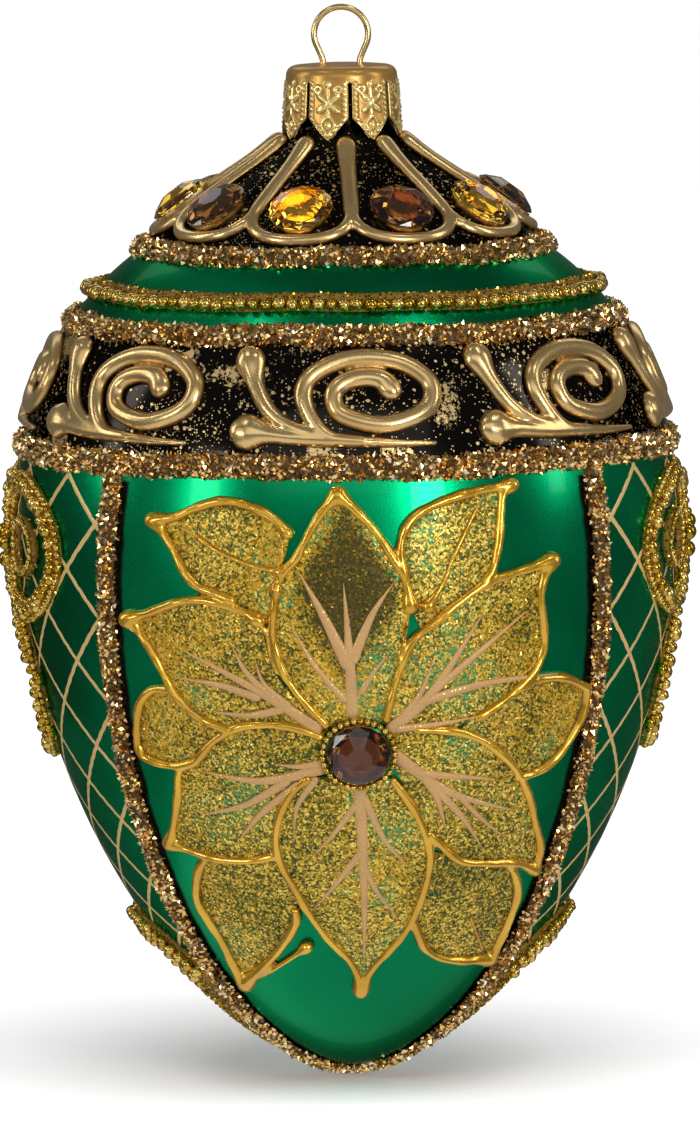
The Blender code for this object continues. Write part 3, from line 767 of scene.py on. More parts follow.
def bead_gold(colours):
    """Small metal beads, each a little lighter or darker than the next."""
    finish = Finish("Bead_Gold", Metallic=1.0)
    tone = finish.tone()
    finish.set("Base Color", finish.mix(tone, colours.bead, colours.bead_bright))
    finish.set("Roughness", tone * 0.10 + 0.16)
    finish.bump(finish.noise(400.0, 2.0), 0.12, 0.08 * MM)
    return finish.material


def gold_crumb(colours):
    return granules("Gold_Granules", colours.crumb_dark, colours.bead, colours.bead_bright)


def shaded_petal(finish):
    """1 on the upper half of the front flower's top petal, where painted shade darkens it, falling to 0 round
    it.
    """
    x, _, z = (finish.add("ShaderNodeSeparateXYZ", None, [finish.place()]).of(axis) for axis in "XYZ")
    away = abs(x) * 1.5 + abs(z - (FLOWER_Z + 21.0 * MM)) * 0.8
    return away.rise(13.0 * MM, 7.0 * MM)


def drifted(finish, base, chance, colours):
    """A petal colour with grains of orange gold and of green among it, thicker in some places than others,
    and painted shade on the top petal.
    """
    shade = shaded_petal(finish)
    lit = 1.0 - shade
    # Painted shade: the top petal's upper half is darkened towards brown.
    base = finish.mix(shade * 0.6, base, tuple(c * 0.45 for c in colours.crumb_dark))
    warm = (finish.noise(55.0, 2.0).rise(0.42, 0.72) * lit * 0.7) > chance
    green = (finish.noise(85.0, 3.0).rise(0.50, 0.74) * lit * 0.7) > 1.0 - chance
    return finish.mix(green * 0.8, finish.mix(warm * 0.55, base, colours.gel), colours.lacquer_deep)


def petal_bed(colours):
    """The glittered colour of a petal: gold, olive and green grains side by side."""
    finish = Finish("Petal_Glitter_Bed", Metallic=0.55)
    chance = finish.add("ShaderNodeSeparateColor", None, [finish.cells(3800.0).of("Color")])
    # Painted shade: the grains run darker on the top petal's upper half.
    drift = finish.noise(85.0, 3.0) * 1.1 - 0.56 - shaded_petal(finish) * 0.42
    grains = finish.ramp(chance.of("Red") + drift, (0.0, colours.petal_green),
                         (0.34, colours.petal_olive), (0.66, colours.petal_gold), (1.0, colours.petal_bright))
    finish.set("Base Color", drifted(finish, grains, chance.of("Blue"), colours))
    finish.set("Roughness", chance.of("Green") * 0.25 + 0.25)
    finish.bump(chance.of("Blue"), 0.7, 0.05 * MM)
    return finish.material


def petal_fleck(colours):
    """Glitter slivers of the petals."""
    finish = Finish("Petal_Slivers", Metallic=0.85)
    chance = finish.tone()
    # Painted shade: the slivers run darker on the top petal's upper half.
    tone = chance + finish.noise(85.0, 3.0) * 0.9 - 0.46 - shaded_petal(finish) * 0.42
    slivers = finish.ramp(tone, (0.0, colours.petal_green), (0.28, colours.petal_olive),
                          (0.58, colours.petal_gold), (0.95, colours.petal_bright))
    finish.set("Base Color", drifted(finish, slivers, (chance * 7.0).maths("FRACT"), colours))
    finish.set("Roughness", tone * -0.12 + 0.30)
    return finish.material


def gel_gold(colours):
    """Raised outlines of glossy gold gel, with painted shade low on their sides."""
    finish = Finish("Gold_Gel", Metallic=0.9, Coat_Weight=1.0, Coat_Roughness=0.03)
    run = finish.noise(130.0, 3.0)
    # Painted shade: the gel darkens towards its foot on the glass.
    foot = finish.height().rise(0.62, 0.22)
    gold = finish.mix(run.rise(0.3, 0.7), colours.gel, colours.gel_bright)
    finish.set("Base Color", finish.mix(foot * 0.85, gold, colours.crumb_dark))
    finish.set("Roughness", finish.noise(600.0, 2.0) * 0.10 + 0.22)
    finish.bump(finish.noise(400.0, 2.0), 0.12, 0.05 * MM)
    return finish.material


def vein_paint(colours):
    """Beige paint with fine sparkle."""
    finish = Finish("Vein_Paint")
    spark = finish.cells(3000.0)
    glint = spark < 0.24
    paint = finish.mix(finish.noise(300.0), colours.vein, colours.vein_light)
    finish.set("Base Color", finish.mix(glint * 0.8, paint, colours.petal_bright))
    finish.set("Metallic", glint * 0.6 + 0.25)
    finish.set("Roughness", 0.52 - glint * 0.25)
    finish.bump(spark, 0.5, 0.05 * MM)
    return finish.material


def trellis_paint(colours):
    """The drawn tan-gold lines of the side panels."""
    finish = Finish("Trellis_Paint")
    worn = finish.noise(350.0, 3.0).rise(0.3, 0.7)
    finish.set("Base Color", finish.mix(worn * 0.4, colours.trellis, colours.relief))
    finish.set("Metallic", worn * 0.3 + 0.35)
    finish.set("Roughness", worn * 0.15 + 0.32)
    return finish.material


def cut_glass(name, colour):
    """Clear tinted stone. It is plain, because its cut and its foil make the play of light."""
    return Finish(name, Base_Color=colour, Roughness=0.02, Transmission_Weight=1.0, IOR=1.66).material


def stone_foil(colours):
    """The mirror foil behind a stone."""
    finish = Finish("Stone_Foil", Metallic=1.0)
    finish.set("Base Color", colours.foil)
    finish.set("Roughness", finish.noise(900.0) * 0.08 + 0.15)
    return finish.material


def stamped_gold(colours):
    """Bright stamped metal, darker in its hollows."""
    finish = Finish("Stamped_Gold", Metallic=0.78)
    hollow = finish.height().rise(0.45, 0.05)
    finish.set("Base Color", finish.mix(hollow, colours.cap, colours.cap_dark))
    finish.set("Roughness", finish.noise(500.0, 3.0) * 0.10 + 0.13 + hollow * 0.12)
    finish.bump(finish.noise(900.0, 2.0), 0.15, 0.05 * MM)
    return finish.material


def drawn_wire(colours):
    """Drawn brass wire."""
    finish = Finish("Drawn_Wire", Metallic=1.0)
    finish.set("Base Color", finish.mix(finish.noise(250.0, 2.0), colours.cap, colours.relief))
    finish.set("Roughness", finish.noise(1200.0, 2.0) * 0.12 + 0.16)
    return finish.material


# Sizes and colours that a user would change

def length(name, millimetres, description):
    return FloatProperty(name=name, description=description, default=millimetres * MM, min=0.0, unit="LENGTH",
                         precision=5)


def colour(name, value, description):
    return FloatVectorProperty(name=name, description=description, default=value, subtype="COLOR", size=3,
                               min=0.0, max=1.0)


class EggSizes(bpy.types.PropertyGroup):
    """Sizes of the fine work."""

    granule: length("Granule", 0.76, "Side of a granule of the glitter braid")
    granule_spacing: length("Granule spacing", 0.42, "Least distance between two granules")
    sliver: length("Petal sliver", 0.52, "Length of a sliver of petal glitter")
    sliver_spacing: length("Sliver spacing", 0.24, "Least distance between two slivers")
    gel_line: length("Gel line", 1.42, "Width of the gel outlines of the petals")
    strand_bead: length("Strand bead", 1.7, "Diameter of the beads round the shoulder")
    setting_bead: length("Setting bead", 0.9, "Diameter of the beads round a centre stone")
    jewel_bead: length("Jewel bead", 1.9, "Diameter of the beads of the side jewels and swags")
    trellis_line: length("Trellis line", 0.98, "Width of the drawn lines of the side panels")
    emboss: length("Emboss", 0.26, "Depth of the stamped pattern of the cap")
    camera_distance: length("Camera distance", 1500.0, "From the camera to the axis of the egg")
    frame_height: length("Frame height", 145.7, "Height that the picture takes in, at the axis")


class EggColours(bpy.types.PropertyGroup):
    """Colours of the finishes."""

    lacquer: colour("Lacquer", (0.0, 0.5, 0.175), "Green of the panels")
    lacquer_deep: colour("Deep lacquer", (0.0, 0.25, 0.09), "Green where the lacquer is thick")
    # This black also paints the shade beside the panel braid.
    enamel: colour("Enamel", (0.022, 0.019, 0.016), "Black enamel")
    leaf: colour("Leaf", (1.0, 0.74, 0.34), "Gold leaf flecks")
    relief: colour("Relief", (1.0, 0.72, 0.32), "Gilding of the relief")
    relief_dark: colour("Relief hollows", (0.62, 0.36, 0.12), "Worn gilding")
    braid: colour("Braid", (1.0, 0.67, 0.26), "Granules of the braid")
    # This colour also paints the shade at the foot of the gilt relief and, darker still, the braid's bed.
    braid_dark: colour("Dark braid", (0.22, 0.11, 0.03), "Darkest granules and the glue bed")
    braid_bright: colour("Bright braid", (1.0, 0.92, 0.66), "Brightest granules")
    bead: colour("Bead", (0.52, 0.31, 0.025), "Metal beads")
    bead_bright: colour("Bright bead", (1.0, 0.7, 0.18), "Brightest beads")
    # This colour also paints the shade at the feet of the gel outlines and on the top petal.
    crumb_dark: colour("Dark crumb", (0.2, 0.11, 0.014), "Darkest gold crumbs")
    petal_green: colour("Petal green", (0.015, 0.06, 0.015), "Darkest grains of the petals")
    petal_olive: colour("Petal olive", (0.14, 0.105, 0.012), "Olive grains of the petals")
    petal_gold: colour("Petal gold", (0.54, 0.36, 0.022), "Gold grains of the petals")
    petal_bright: colour("Petal light", (0.92, 0.66, 0.14), "Brightest grains of the petals")
    gel: colour("Gel", (0.7, 0.36, 0.015), "Gel outlines")
    gel_bright: colour("Bright gel", (0.95, 0.56, 0.05), "Gel outlines where they are thin")
    vein: colour("Vein", (0.36, 0.195, 0.07), "Painted veins")
    vein_light: colour("Light vein", (0.48, 0.29, 0.115), "Painted veins where they are thick")
    trellis: colour("Trellis", (0.6, 0.39, 0.15), "Drawn lines of the side panels")
    amber: colour("Amber", (1.0, 0.62, 0.045), "Amber stones")
    topaz: colour("Topaz", (0.25, 0.105, 0.018), "Brown stones")
    foil: colour("Foil", (0.85, 0.66, 0.42), "Foil behind the stones")
    cap: colour("Cap", (1.0, 0.77, 0.30), "Stamped metal")
    cap_dark: colour("Cap hollows", (0.48, 0.27, 0.07), "Hollows of the stamped metal")
    floor: colour("Floor", (0.90, 0.90, 0.90), "Studio floor")


# Glass

GLASS_COLUMNS = 168


def make_glass(colours):
    outer = outer_outline(44, 26, 80)
    inner = outer_outline(12, 8, 24)
    step = unit(np.gradient(inner, axis=0))
    inner = inner + np.stack([step[:, 1], -step[:, 0]], 1) * GLASS_WALL
    inner[0] = (NECK_RADIUS - GLASS_WALL, NECK_TOP_Z)
    inner[-1] = (0, TIP_Z + GLASS_WALL)
    shells = Shells()
    shells.add(*lathe(np.concatenate([outer[::-1], np.maximum(inner, [0, -1])]), GLASS_COLUMNS))
    glass = shells.build("lacquered_glass", lacquered_glass(colours), sharp=math.radians(50))
    fit(glass, "green_glass", "glass_egg")


# Gilt relief

RIBS = 10
RIB_TURN = math.radians(3)
RIB_WIDTH = 2.3 * MM
RIB_HEIGHT = 1.2 * MM
RIB_TOP_Z = FLARE_TOP_Z - 3.3 * MM
ARC_SPRING_Z = RIM_Z + 6.2 * MM
ARC_LOW_Z = RIM_Z + 2.5 * MM
ARC_WIDTH = 1.9 * MM
ARC_HEIGHT = 1.1 * MM


def make_flare_web(colours):
    """Ribs that part at their feet into arcs under the stones."""
    shells = Shells()
    pitch = 2 * math.pi / RIBS
    turn = np.linspace(0, math.pi, 48)
    across = 0.5 * (1 - np.sign(np.cos(turn)) * np.abs(np.cos(turn)) ** 0.85)
    arc_z = ARC_SPRING_Z - (ARC_SPRING_Z - ARC_LOW_Z) * np.abs(np.sin(turn)) ** 0.85
    rib_z = np.linspace(RIB_TOP_Z, ARC_SPRING_Z - 0.4 * MM, 24)
    swell = 1 + 0.22 * np.exp(-np.linspace(0, 4, 24) ** 2)
    for k in range(RIBS):
        azimuth = RIB_TURN + k * pitch
        shells.sweep(*on_glass(azimuth, rib_z), RIB_WIDTH / 2 * swell, RIB_HEIGHT * swell)
        shells.sweep(*on_glass(azimuth + pitch * across, arc_z), ARC_WIDTH / 2, ARC_HEIGHT)
    web = melted(shells.build("gilt_flare_web"), 0.2 * MM, 10, SHOP.ask(gilt, colours))
    fit(web, "relief_gold", "flare_web")


SCROLLS = 8
SCROLL_TURN = math.radians(-18.9)
SCROLL_LENGTH = 25.0 * MM
SCROLL_RISE = 10.4 * MM
SCROLL_WIDTH = 2.6 * MM
SCROLL_HEIGHT = 1.5 * MM
SCROLL_STEP = 0.35 * MM
STEM_KNOB = 2.1 * MM
HEEL_KNOB = 2.5 * MM
CURL_SHARES = (1.0, 1.0, 1.0, 1.0, 1.0, 1.0, 0.95, 0.75, 0.55, 0.48, 0.44, 0.42, 0.36)


def scroll_pattern(finish):
    """One scroll: a curl with its tail, a stem with a knob at its top, and a heel with a knob."""
    middle = (MIDDLE_BAND_Z + LOWER_BAND_Z) / 2
    radius = glass_at(middle)[0]

    def laid(marks):
        line = smooth_path(np.array(marks) * (SCROLL_LENGTH, SCROLL_RISE), SCROLL_STEP)
        return on_glass(line[:, 0] / radius, middle - SCROLL_RISE / 2 + line[:, 1])

    curl = [(0.96, 0.0), (0.70, 0.02), (0.44, 0.10)]
    for k, share in enumerate(CURL_SHARES):
        turn = math.radians(195 - 45 * k)
        curl.append((0.64 + 0.335 * share * math.cos(turn), 0.61 + 0.41 * share * math.sin(turn)))
    shells = Shells()
    path, normals = laid(curl)
    share = np.linspace(0, 1, len(path))
    end_drop = 0.25 * np.exp(-((1 - share) / 0.03) ** 2)
    half = SCROLL_WIDTH / 2 * (np.minimum(0.3 + share * 2.4, 1.0) + end_drop)
    shells.sweep(path, normals, half, SCROLL_HEIGHT * np.minimum(0.6 + share * 2, 1.0))
    stem = [(0.01, 0.98), (0.06, 0.70), (0.14, 0.40), (0.26, 0.20), (0.44, 0.09), (0.60, 0.045)]
    heel = [(0.04, 0.15), (0.12, 0.13), (0.30, 0.08), (0.62, 0.03)]
    for marks, knob_radius in ((stem, STEM_KNOB), (heel, HEEL_KNOB)):
        path, normals = laid(marks)
        along = np.arange(len(path)) * SCROLL_STEP
        knob = np.exp(-(along / (1.7 * MM)) ** 2)
        body = SCROLL_WIDTH / 2 * (0.92 - 0.35 * (along / along[-1]) ** 2)
        shells.sweep(path, normals, body + (knob_radius - body) * knob, SCROLL_HEIGHT * (0.95 + 0.35 * knob))
    return melted(shells.build("gilt_scroll"), 0.18 * MM, 12, finish)


def make_scrolls(colours):
    pattern = scroll_pattern(SHOP.ask(gilt, colours))
    for k in range(SCROLLS):
        scroll = placed(f"gilt_scroll_{k + 1}", pattern.data.copy())
        scroll.data.transform(Matrix.Rotation(SCROLL_TURN + k * 2 * math.pi / SCROLLS, 4, "Z"))
        fit(scroll, "relief_gold", f"scroll_{k + 1}")
    bpy.data.objects.remove(pattern)


# Glitter braid

ROPE_WIDTH = 3.0 * MM
ROPE_HEIGHT = 1.05 * MM
GLUE_SINK = 0.15 * MM
ROPE_SIDES = 10
RING_STEPS = 260
STRAND_CRUMB = (0.46 * MM, 0.36 * MM, 0.36 * MM)
ARCH_STEPS = 110


def ring_path(z, phase, wander=0.16 * MM):
    """A ring round the egg, laid by hand and so a little uneven."""
    azimuth = full_turn(RING_STEPS)
    drift = np.sin(5 * azimuth + phase) + 0.6 * np.sin(13 * azimuth + 2 * phase)
    return on_glass(azimuth, z + wander * drift)


def make_glitter_bands(sizes, colours):
    bands = (("upper", UPPER_BAND_Z, 0.96), ("middle", MIDDLE_BAND_Z, 0.94), ("lower", LOWER_BAND_Z, 1.0))
    for k, (name, z, share) in enumerate(bands):
        shells = Shells()
        path, normals = ring_path(z, 1.3 + k)
        thick = 1 + 0.06 * np.sin(31 * np.linspace(0, 2 * math.pi, len(path), endpoint=False) + k)
        shells.sweep(path, normals, ROPE_WIDTH / 2 * share * thick, ROPE_HEIGHT * thick, sides=ROPE_SIDES,
                     sink=GLUE_SINK, closed=True)
        rope = braid_crumbed(shells.build(f"{name}_glitter_rope"), sizes, colours, 20 + k)
        fit(rope, "glitter", f"{name}_glitter_band")


def braid_arches():
    """The two arches of braid that run down the panels' edges and cross under the tip."""
    depth = BRAID_TOP_Z - TIP_Z
    down = BRAID_TOP_Z - depth * np.sin(np.linspace(0, math.pi / 2, ARCH_STEPS)[:-1])
    for side in (LEFT, RIGHT):
        first = on_glass(PANEL_TURN + side * half_panel(down), down)
        second = on_glass(PANEL_TURN + math.pi + side * half_panel(down), down)
        tip = (np.array([[0, 0, TIP_Z]]), np.array([[0, 0, -1.0]]))
        yield [np.concatenate([a, t, b[::-1]]) for a, t, b in zip(first, tip, second)]


def make_panel_braid(sizes, colours):
    shells = Shells()
    for path, normals in braid_arches():
        wave = 1 + 0.07 * np.sin(np.linspace(0, 90, len(path)))
        shells.sweep(path, normals, ROPE_WIDTH * 0.47 * wave, ROPE_HEIGHT * 0.92 * wave, sides=ROPE_SIDES,
                     sink=GLUE_SINK)
    braid = braid_crumbed(shells.build("panel_glitter_braid"), sizes, colours, 31)
    fit(braid, "glitter", "panel_braid")


def make_bead_strand(sizes, colours):
    """A row of beads with a fine crumbed cord along its upper side."""
    shells = Shells()
    path, normals = ring_path(STRAND_Z + 0.45 * MM, 2.1, 0.1 * MM)
    shells.sweep(path, normals, 0.75 * MM, 0.6 * MM, closed=True)
    path, normals = ring_path(STRAND_Z - 0.75 * MM, 2.1, 0.1 * MM)
    shells.sweep(path, normals, 0.55 * MM, 0.25 * MM, closed=True)
    cord = gold_crumbed(shells.build("strand_cord"), 0.44 * MM, STRAND_CRUMB, colours, 41)
    row = beaded("strand_beads", [(path + normals * 0.85 * MM, True)], sizes.strand_bead,
                 sizes.strand_bead * 0.55, SHOP.ask(bead_gold, colours), 1, 0.28, 0.12 * MM)
    fit(joined("shoulder_bead_strand", [cord, row]), "bead_gold", "bead_strand")


# Flowers, drawn in millimetres on the front view: across from the axis and up from the hanging point.
# Each petal has its layer, its two edges from the tip, the marks that close it, the knobs at its tip and at
# the ends of its edges, and its other gel strokes.

PETALS = {
    "upper_left": (
        0,
        [(-24.3, -62.7), (-21.6, -62.1), (-18.8, -60.8), (-15.4, -59.9), (-12.1, -60.5), (-9.3, -61.9),
         (-7.4, -63.8)],
        [(-24.3, -62.7), (-23.5, -63.5), (-21.8, -66.3), (-20.4, -69.1), (-18.8, -70.8), (-16.6, -71.6),
         (-14.6, -72.4)],
        [(-7.6, -66.0), (-8.6, -69.1), (-9.2, -72.4), (-10.5, -75.5), (-13.2, -73.8)],
        (1.25, 0.95, 0.0),
        [([(-18.8, -64.4), (-16.6, -66.0), (-12.7, -67.7), (-8.2, -68.8)], 0.8, 0.9)]),
    "upper_right": (
        0,
        [(20.7, -58.6), (16.8, -59.0), (12.9, -59.9), (9.6, -61.2), (7.6, -63.0), (6.7, -65.8),
         (7.1, -69.1), (7.9, -73.0)],
        [(20.7, -58.6), (19.6, -59.6), (19.3, -62.4), (19.0, -65.8), (18.2, -69.1), (17.3, -70.2)],
        [(9.4, -76.2), (12.0, -74.6), (14.6, -72.6)],
        (1.1, 1.2, 0.0),
        [([(16.2, -61.3), (14.8, -64.1), (13.2, -67.4), (12.1, -70.2), (10.1, -73.3)], 0.8, 1.1)]),
    "far_left": (
        0,
        [(-22.1, -84.4), (-24.6, -84.4), (-26.3, -86.3), (-26.8, -89.6), (-26.6, -92.4), (-25.2, -93.8),
         (-22.1, -94.4), (-19.9, -93.8)],
        [(-22.1, -84.4)],
        [(-17.0, -90.8), (-14.0, -88.6), (-18.0, -87.0)],
        (0.0, 0.0, 0.0),
        []),
    "far_right": (
        0,
        [(30.1, -85.5), (29.6, -88.5), (27.9, -91.9), (25.7, -94.6), (23.4, -96.0), (21.2, -96.3)],
        [(30.1, -85.5), (27.3, -83.8), (24.0, -83.6), (21.2, -84.6)],
        [(17.0, -92.4), (14.0, -90.0), (17.0, -87.0)],
        (0.8, 0.0, 0.0),
        []),
    "lower_left": (
        0,
        [(-13.5, -124.1), (-14.3, -123.0), (-15.4, -120.8), (-16.6, -118.0), (-18.2, -115.2),
         (-19.6, -112.4), (-19.3, -108.5), (-18.2, -106.6)],
        [(-13.5, -124.1), (-9.3, -119.1), (-7.1, -115.2), (-7.1, -113.5)],
        [(-12.7, -105.8), (-8.0, -105.8), (-6.6, -110.5)],
        (1.35, 0.0, 0.0),
        [([(-13.2, -123.9), (-9.3, -121.3), (-5.7, -118.5)], 0.9, 1.0)]),
    "lower_right": (
        0,
        [(17.4, -121.3), (18.7, -119.1), (20.1, -115.8), (21.1, -112.4), (20.7, -109.6), (19.6, -108.0)],
        [(17.4, -121.3), (14.0, -121.2), (11.2, -120.5), (9.3, -119.1), (8.4, -116.9), (7.9, -115.2)],
        [(14.0, -106.6), (9.0, -106.0), (7.6, -111.0)],
        (1.3, 0.0, 0.0),
        [([(15.1, -115.2), (16.5, -119.6)], 0.6, 0.4)]),
    "left": (
        1,
        [(-27.7, -75.5), (-24.9, -74.4), (-21.6, -73.0), (-18.8, -72.5), (-16.0, -72.9), (-13.2, -73.8),
         (-11.3, -74.9)],
        [(-27.7, -75.5), (-26.8, -76.3), (-24.9, -79.1), (-23.2, -82.4), (-21.6, -85.2), (-18.8, -87.7),
         (-15.4, -89.1)],
        [(-9.9, -79.1), (-8.8, -82.4), (-6.0, -85.6), (-2.6, -89.2), (-6.6, -89.4), (-11.0, -89.2)],
        (1.35, 1.1, 0.0),
        [([(-11.2, -74.9), (-10.2, -76.9), (-9.9, -79.1), (-9.0, -81.6)], 0.7, 0.0)]),
    "right": (
        1,
        [(25.7, -68.5), (20.1, -69.9), (17.3, -70.8), (14.0, -73.0), (11.2, -75.2), (8.4, -77.4),
         (6.8, -80.2), (5.7, -83.5), (4.6, -87.6)],
        [(25.7, -68.5), (24.8, -70.2), (24.3, -73.0), (24.6, -76.9), (24.6, -79.6), (23.4, -82.4),
         (21.2, -84.6), (19.0, -86.3), (16.2, -88.0)],
        [(5.4, -90.0), (9.0, -90.0), (12.9, -89.2)],
        (1.3, 0.0, 0.0),
        []),
    "lower_left_broad": (
        1,
        [(-22.8, -104.9), (-22.1, -101.3), (-21.7, -98.0), (-21.4, -94.9), (-19.3, -93.5), (-17.1, -90.8),
         (-13.8, -88.8), (-9.9, -88.4), (-6.6, -88.8), (-3.6, -89.9)],
        [(-22.8, -104.9), (-19.9, -105.8), (-16.6, -106.6), (-12.7, -106.6), (-9.3, -105.8)],
        [(-3.4, -94.0), (-6.4, -97.0), (-8.6, -101.0)],
        (1.2, 0.0, 0.0),
        []),
    "lower_right_broad": (
        1,
        [(23.3, -109.4), (24.0, -106.3), (23.4, -103.0), (22.6, -99.1), (21.2, -95.8), (19.0, -93.0),
         (16.2, -90.8), (12.9, -89.6), (8.4, -89.2)],
        [(23.3, -109.4), (20.7, -108.0), (17.3, -107.7), (14.0, -107.1), (11.8, -105.2), (10.1, -103.4)],
        [(5.4, -90.6), (5.6, -94.0), (8.0, -99.0)],
        (1.0, 0.0, 0.0),
        []),
    "top": (
        2,
        [(-1.1, -59.1), (-3.2, -61.3), (-4.9, -64.1), (-6.3, -66.9), (-8.2, -69.1), (-9.1, -72.4),
         (-9.4, -76.3), (-8.8, -79.6), (-7.7, -82.4), (-5.7, -85.2), (-2.9, -88.3)],
        [(-1.1, -59.1), (0.9, -60.8), (3.4, -63.5), (5.4, -66.6), (7.1, -69.9), (7.7, -73.3)],
        [(0.8, -88.6), (4.4, -87.4), (6.2, -79.6), (7.3, -76.3)],
        (1.35, 0.0, 1.15),
        [([(7.6, -72.6), (7.3, -76.3), (6.2, -79.6)], 0.6, 0.0), ([(-9.0, -70.6), (-8.9, -71.0)], 1.5,
         1.0)]),
    "bottom": (
        2,
        [(1.1, -124.6), (0.9, -123.0), (-0.4, -120.2), (-3.2, -116.9), (-5.4, -113.5), (-7.1, -110.2),
         (-8.8, -106.9), (-9.4, -103.5), (-8.8, -100.2), (-7.4, -97.4), (-5.4, -95.5)],
        [(1.1, -124.6), (2.3, -121.9), (4.6, -119.1), (6.8, -116.3), (8.4, -113.0), (9.6, -109.1),
         (10.0, -105.8), (9.3, -103.0), (7.9, -99.6), (5.4, -95.8)],
        [(-2.0, -95.4), (1.1, -96.2), (3.6, -95.6)],
        (1.3, 0.85, 0.0),
        []),
}

# Veins: where each starts by the stone or on another vein, bends and ends, with its width at the start
VEINS = (
    ((0.4, -86.6), (0.1, -79.1), (-0.5, -70.2), 1.5), ((-0.2, -80.4), (-3.0, -74.4), (-6.0, -68.8), 1.5),
    ((0.6, -79.8), (3.0, -74.2), (5.7, -70.2), 1.3), ((-0.6, -85.0), (-4.4, -80.4), (-7.1, -75.2), 0.9),
    ((1.6, -84.0), (3.4, -81.2), (5.1, -79.1), 0.8), ((5.4, -88.8), (10.4, -84.4), (16.8, -74.6), 1.4),
    ((10.8, -84.0), (17.4, -78.6), (22.3, -74.6), 1.0), ((9.0, -85.6), (17.0, -83.6), (26.2, -83.0), 1.1),
    ((6.0, -89.0), (11.0, -88.6), (16.0, -87.8), 0.9), ((6.6, -87.6), (9.0, -84.4), (10.6, -80.0), 0.9),
    ((5.9, -92.6), (12.4, -97.6), (20.4, -100.6), 1.4), ((9.0, -95.0), (13.4, -95.6), (18.2, -96.2), 1.0),
    ((10.0, -96.2), (14.0, -101.0), (16.6, -105.6), 1.1),
    ((9.4, -95.6), (11.0, -98.6), (11.9, -102.6), 1.0),
    ((14.0, -98.6), (16.6, -101.6), (19.6, -104.4), 0.7), ((1.2, -96.8), (1.6, -109.0), (1.5, -121.0), 1.5),
    ((0.6, -99.0), (-2.0, -102.6), (-5.0, -106.0), 0.9), ((2.0, -98.4), (4.2, -103.6), (7.6, -107.8), 1.0),
    ((1.0, -105.6), (-2.0, -109.6), (-4.9, -113.2), 0.9),
    ((1.8, -107.6), (3.4, -111.0), (5.7, -114.2), 0.8), ((-3.6, -93.4), (-6.4, -93.8), (-9.4, -93.5), 0.9),
    ((-3.8, -94.2), (-11.0, -95.8), (-18.3, -94.8), 1.3),
    ((-8.0, -95.8), (-13.0, -99.0), (-18.8, -100.6), 1.1),
    ((-6.6, -96.4), (-11.0, -100.0), (-14.4, -104.3), 1.1),
    ((-4.4, -95.6), (-6.6, -99.0), (-7.1, -103.0), 0.9),
    ((-4.2, -88.7), (-10.6, -84.4), (-20.6, -79.0), 1.4),
    ((-11.6, -84.8), (-16.0, -83.4), (-21.3, -82.6), 1.0),
    ((-8.6, -86.4), (-12.6, -87.2), (-16.9, -86.8), 1.0),
    ((-9.6, -84.8), (-12.8, -81.6), (-14.4, -78.4), 1.0),
    ((-7.6, -85.8), (-10.6, -83.0), (-11.6, -80.0), 0.8),
)

BACK_PETALS = 6
BACK_REACH = 24.0
BACK_HALF_WIDTH = 7.4
LAYER_LIFT = 0.36 * MM
LAYER_STEP = 0.15 * MM
# Steps of a petal's sheet and of a gel line, in millimetres of the drawing
SHEET_GRID = 1.4
SHEET_RIM = 0.8
GEL_STEP = 0.35
CENTRE_STONE = 8.2 * MM
CENTRE_HEIGHT = 3.0 * MM


def back_petals():
    """Six like petals round the middle, each with its tip outermost, and their veins."""
    middle = np.array([glass_at(FLOWER_Z)[0] * math.sin(PANEL_TURN), FLOWER_Z]) / MM
    petals, veins = {}, []
    for k in range(BACK_PETALS):
        turn = math.radians(30 + 360 / BACK_PETALS * k)
        ahead, aside = np.array([math.cos(turn), math.sin(turn)]), np.array([-math.sin(turn), math.cos(turn)])
        edges = []
        for hand in (LEFT, RIGHT):
            shares = (1.0, 0.9, 0.75, 0.6, 0.45, 0.32)
            wide = [hand * BACK_HALF_WIDTH * max(math.sin(math.pi * s ** 1.15), 0.0) ** 0.75 for s in shares]
            edges.append([tuple(middle + ahead * BACK_REACH * s + aside * w) for s, w in zip(shares, wide)])
        foot = tuple(middle + ahead * 4.6)
        petals[f"back_{k}"] = (k % 2, edges[0], edges[1], [foot], (1.0, 0.0, 0.0), [])
        for reach, spread in ((0.8, 0.0), (0.62, 3.6), (0.62, -3.6)):
            bend = middle + ahead * BACK_REACH * reach * 0.6 + aside * spread * 0.4
            veins.append((tuple(middle + ahead * 6.0), tuple(bend),
                          tuple(middle + ahead * BACK_REACH * reach + aside * spread), 1.1))
    return petals, veins


def petal_sheet(shells, outline, lift, turn):
    """Fills a petal's outline with a thin sheet that follows the glass."""
    rim = smooth_path(outline, SHEET_RIM, closed=True)
    low, high = rim.min(0), rim.max(0)
    grid = np.meshgrid(*(np.arange(low[k], high[k], SHEET_GRID) for k in (0, 1)))
    grid = np.stack(grid, -1).reshape(-1, 2)
    edges = [(k, (k + 1) % len(rim)) for k in range(len(rim))]
    marks = [Vector(p) for p in np.concatenate([rim, grid])]
    spots, _, faces = delaunay_2d_cdt(marks, edges, [], 1, 1e-5)[:3]
    used = sorted({c for face in faces for c in face})
    order = {old: new for new, old in enumerate(used)}
    flat = np.array([tuple(spots[c]) for c in used])
    triangles = [tuple(order[c] for c in face) for face in faces]
    top, _ = on_front(flat, lift, turn)
    bottom, _ = on_front(flat, -0.05 * MM, turn)
    shells.plate(top, bottom, triangles)


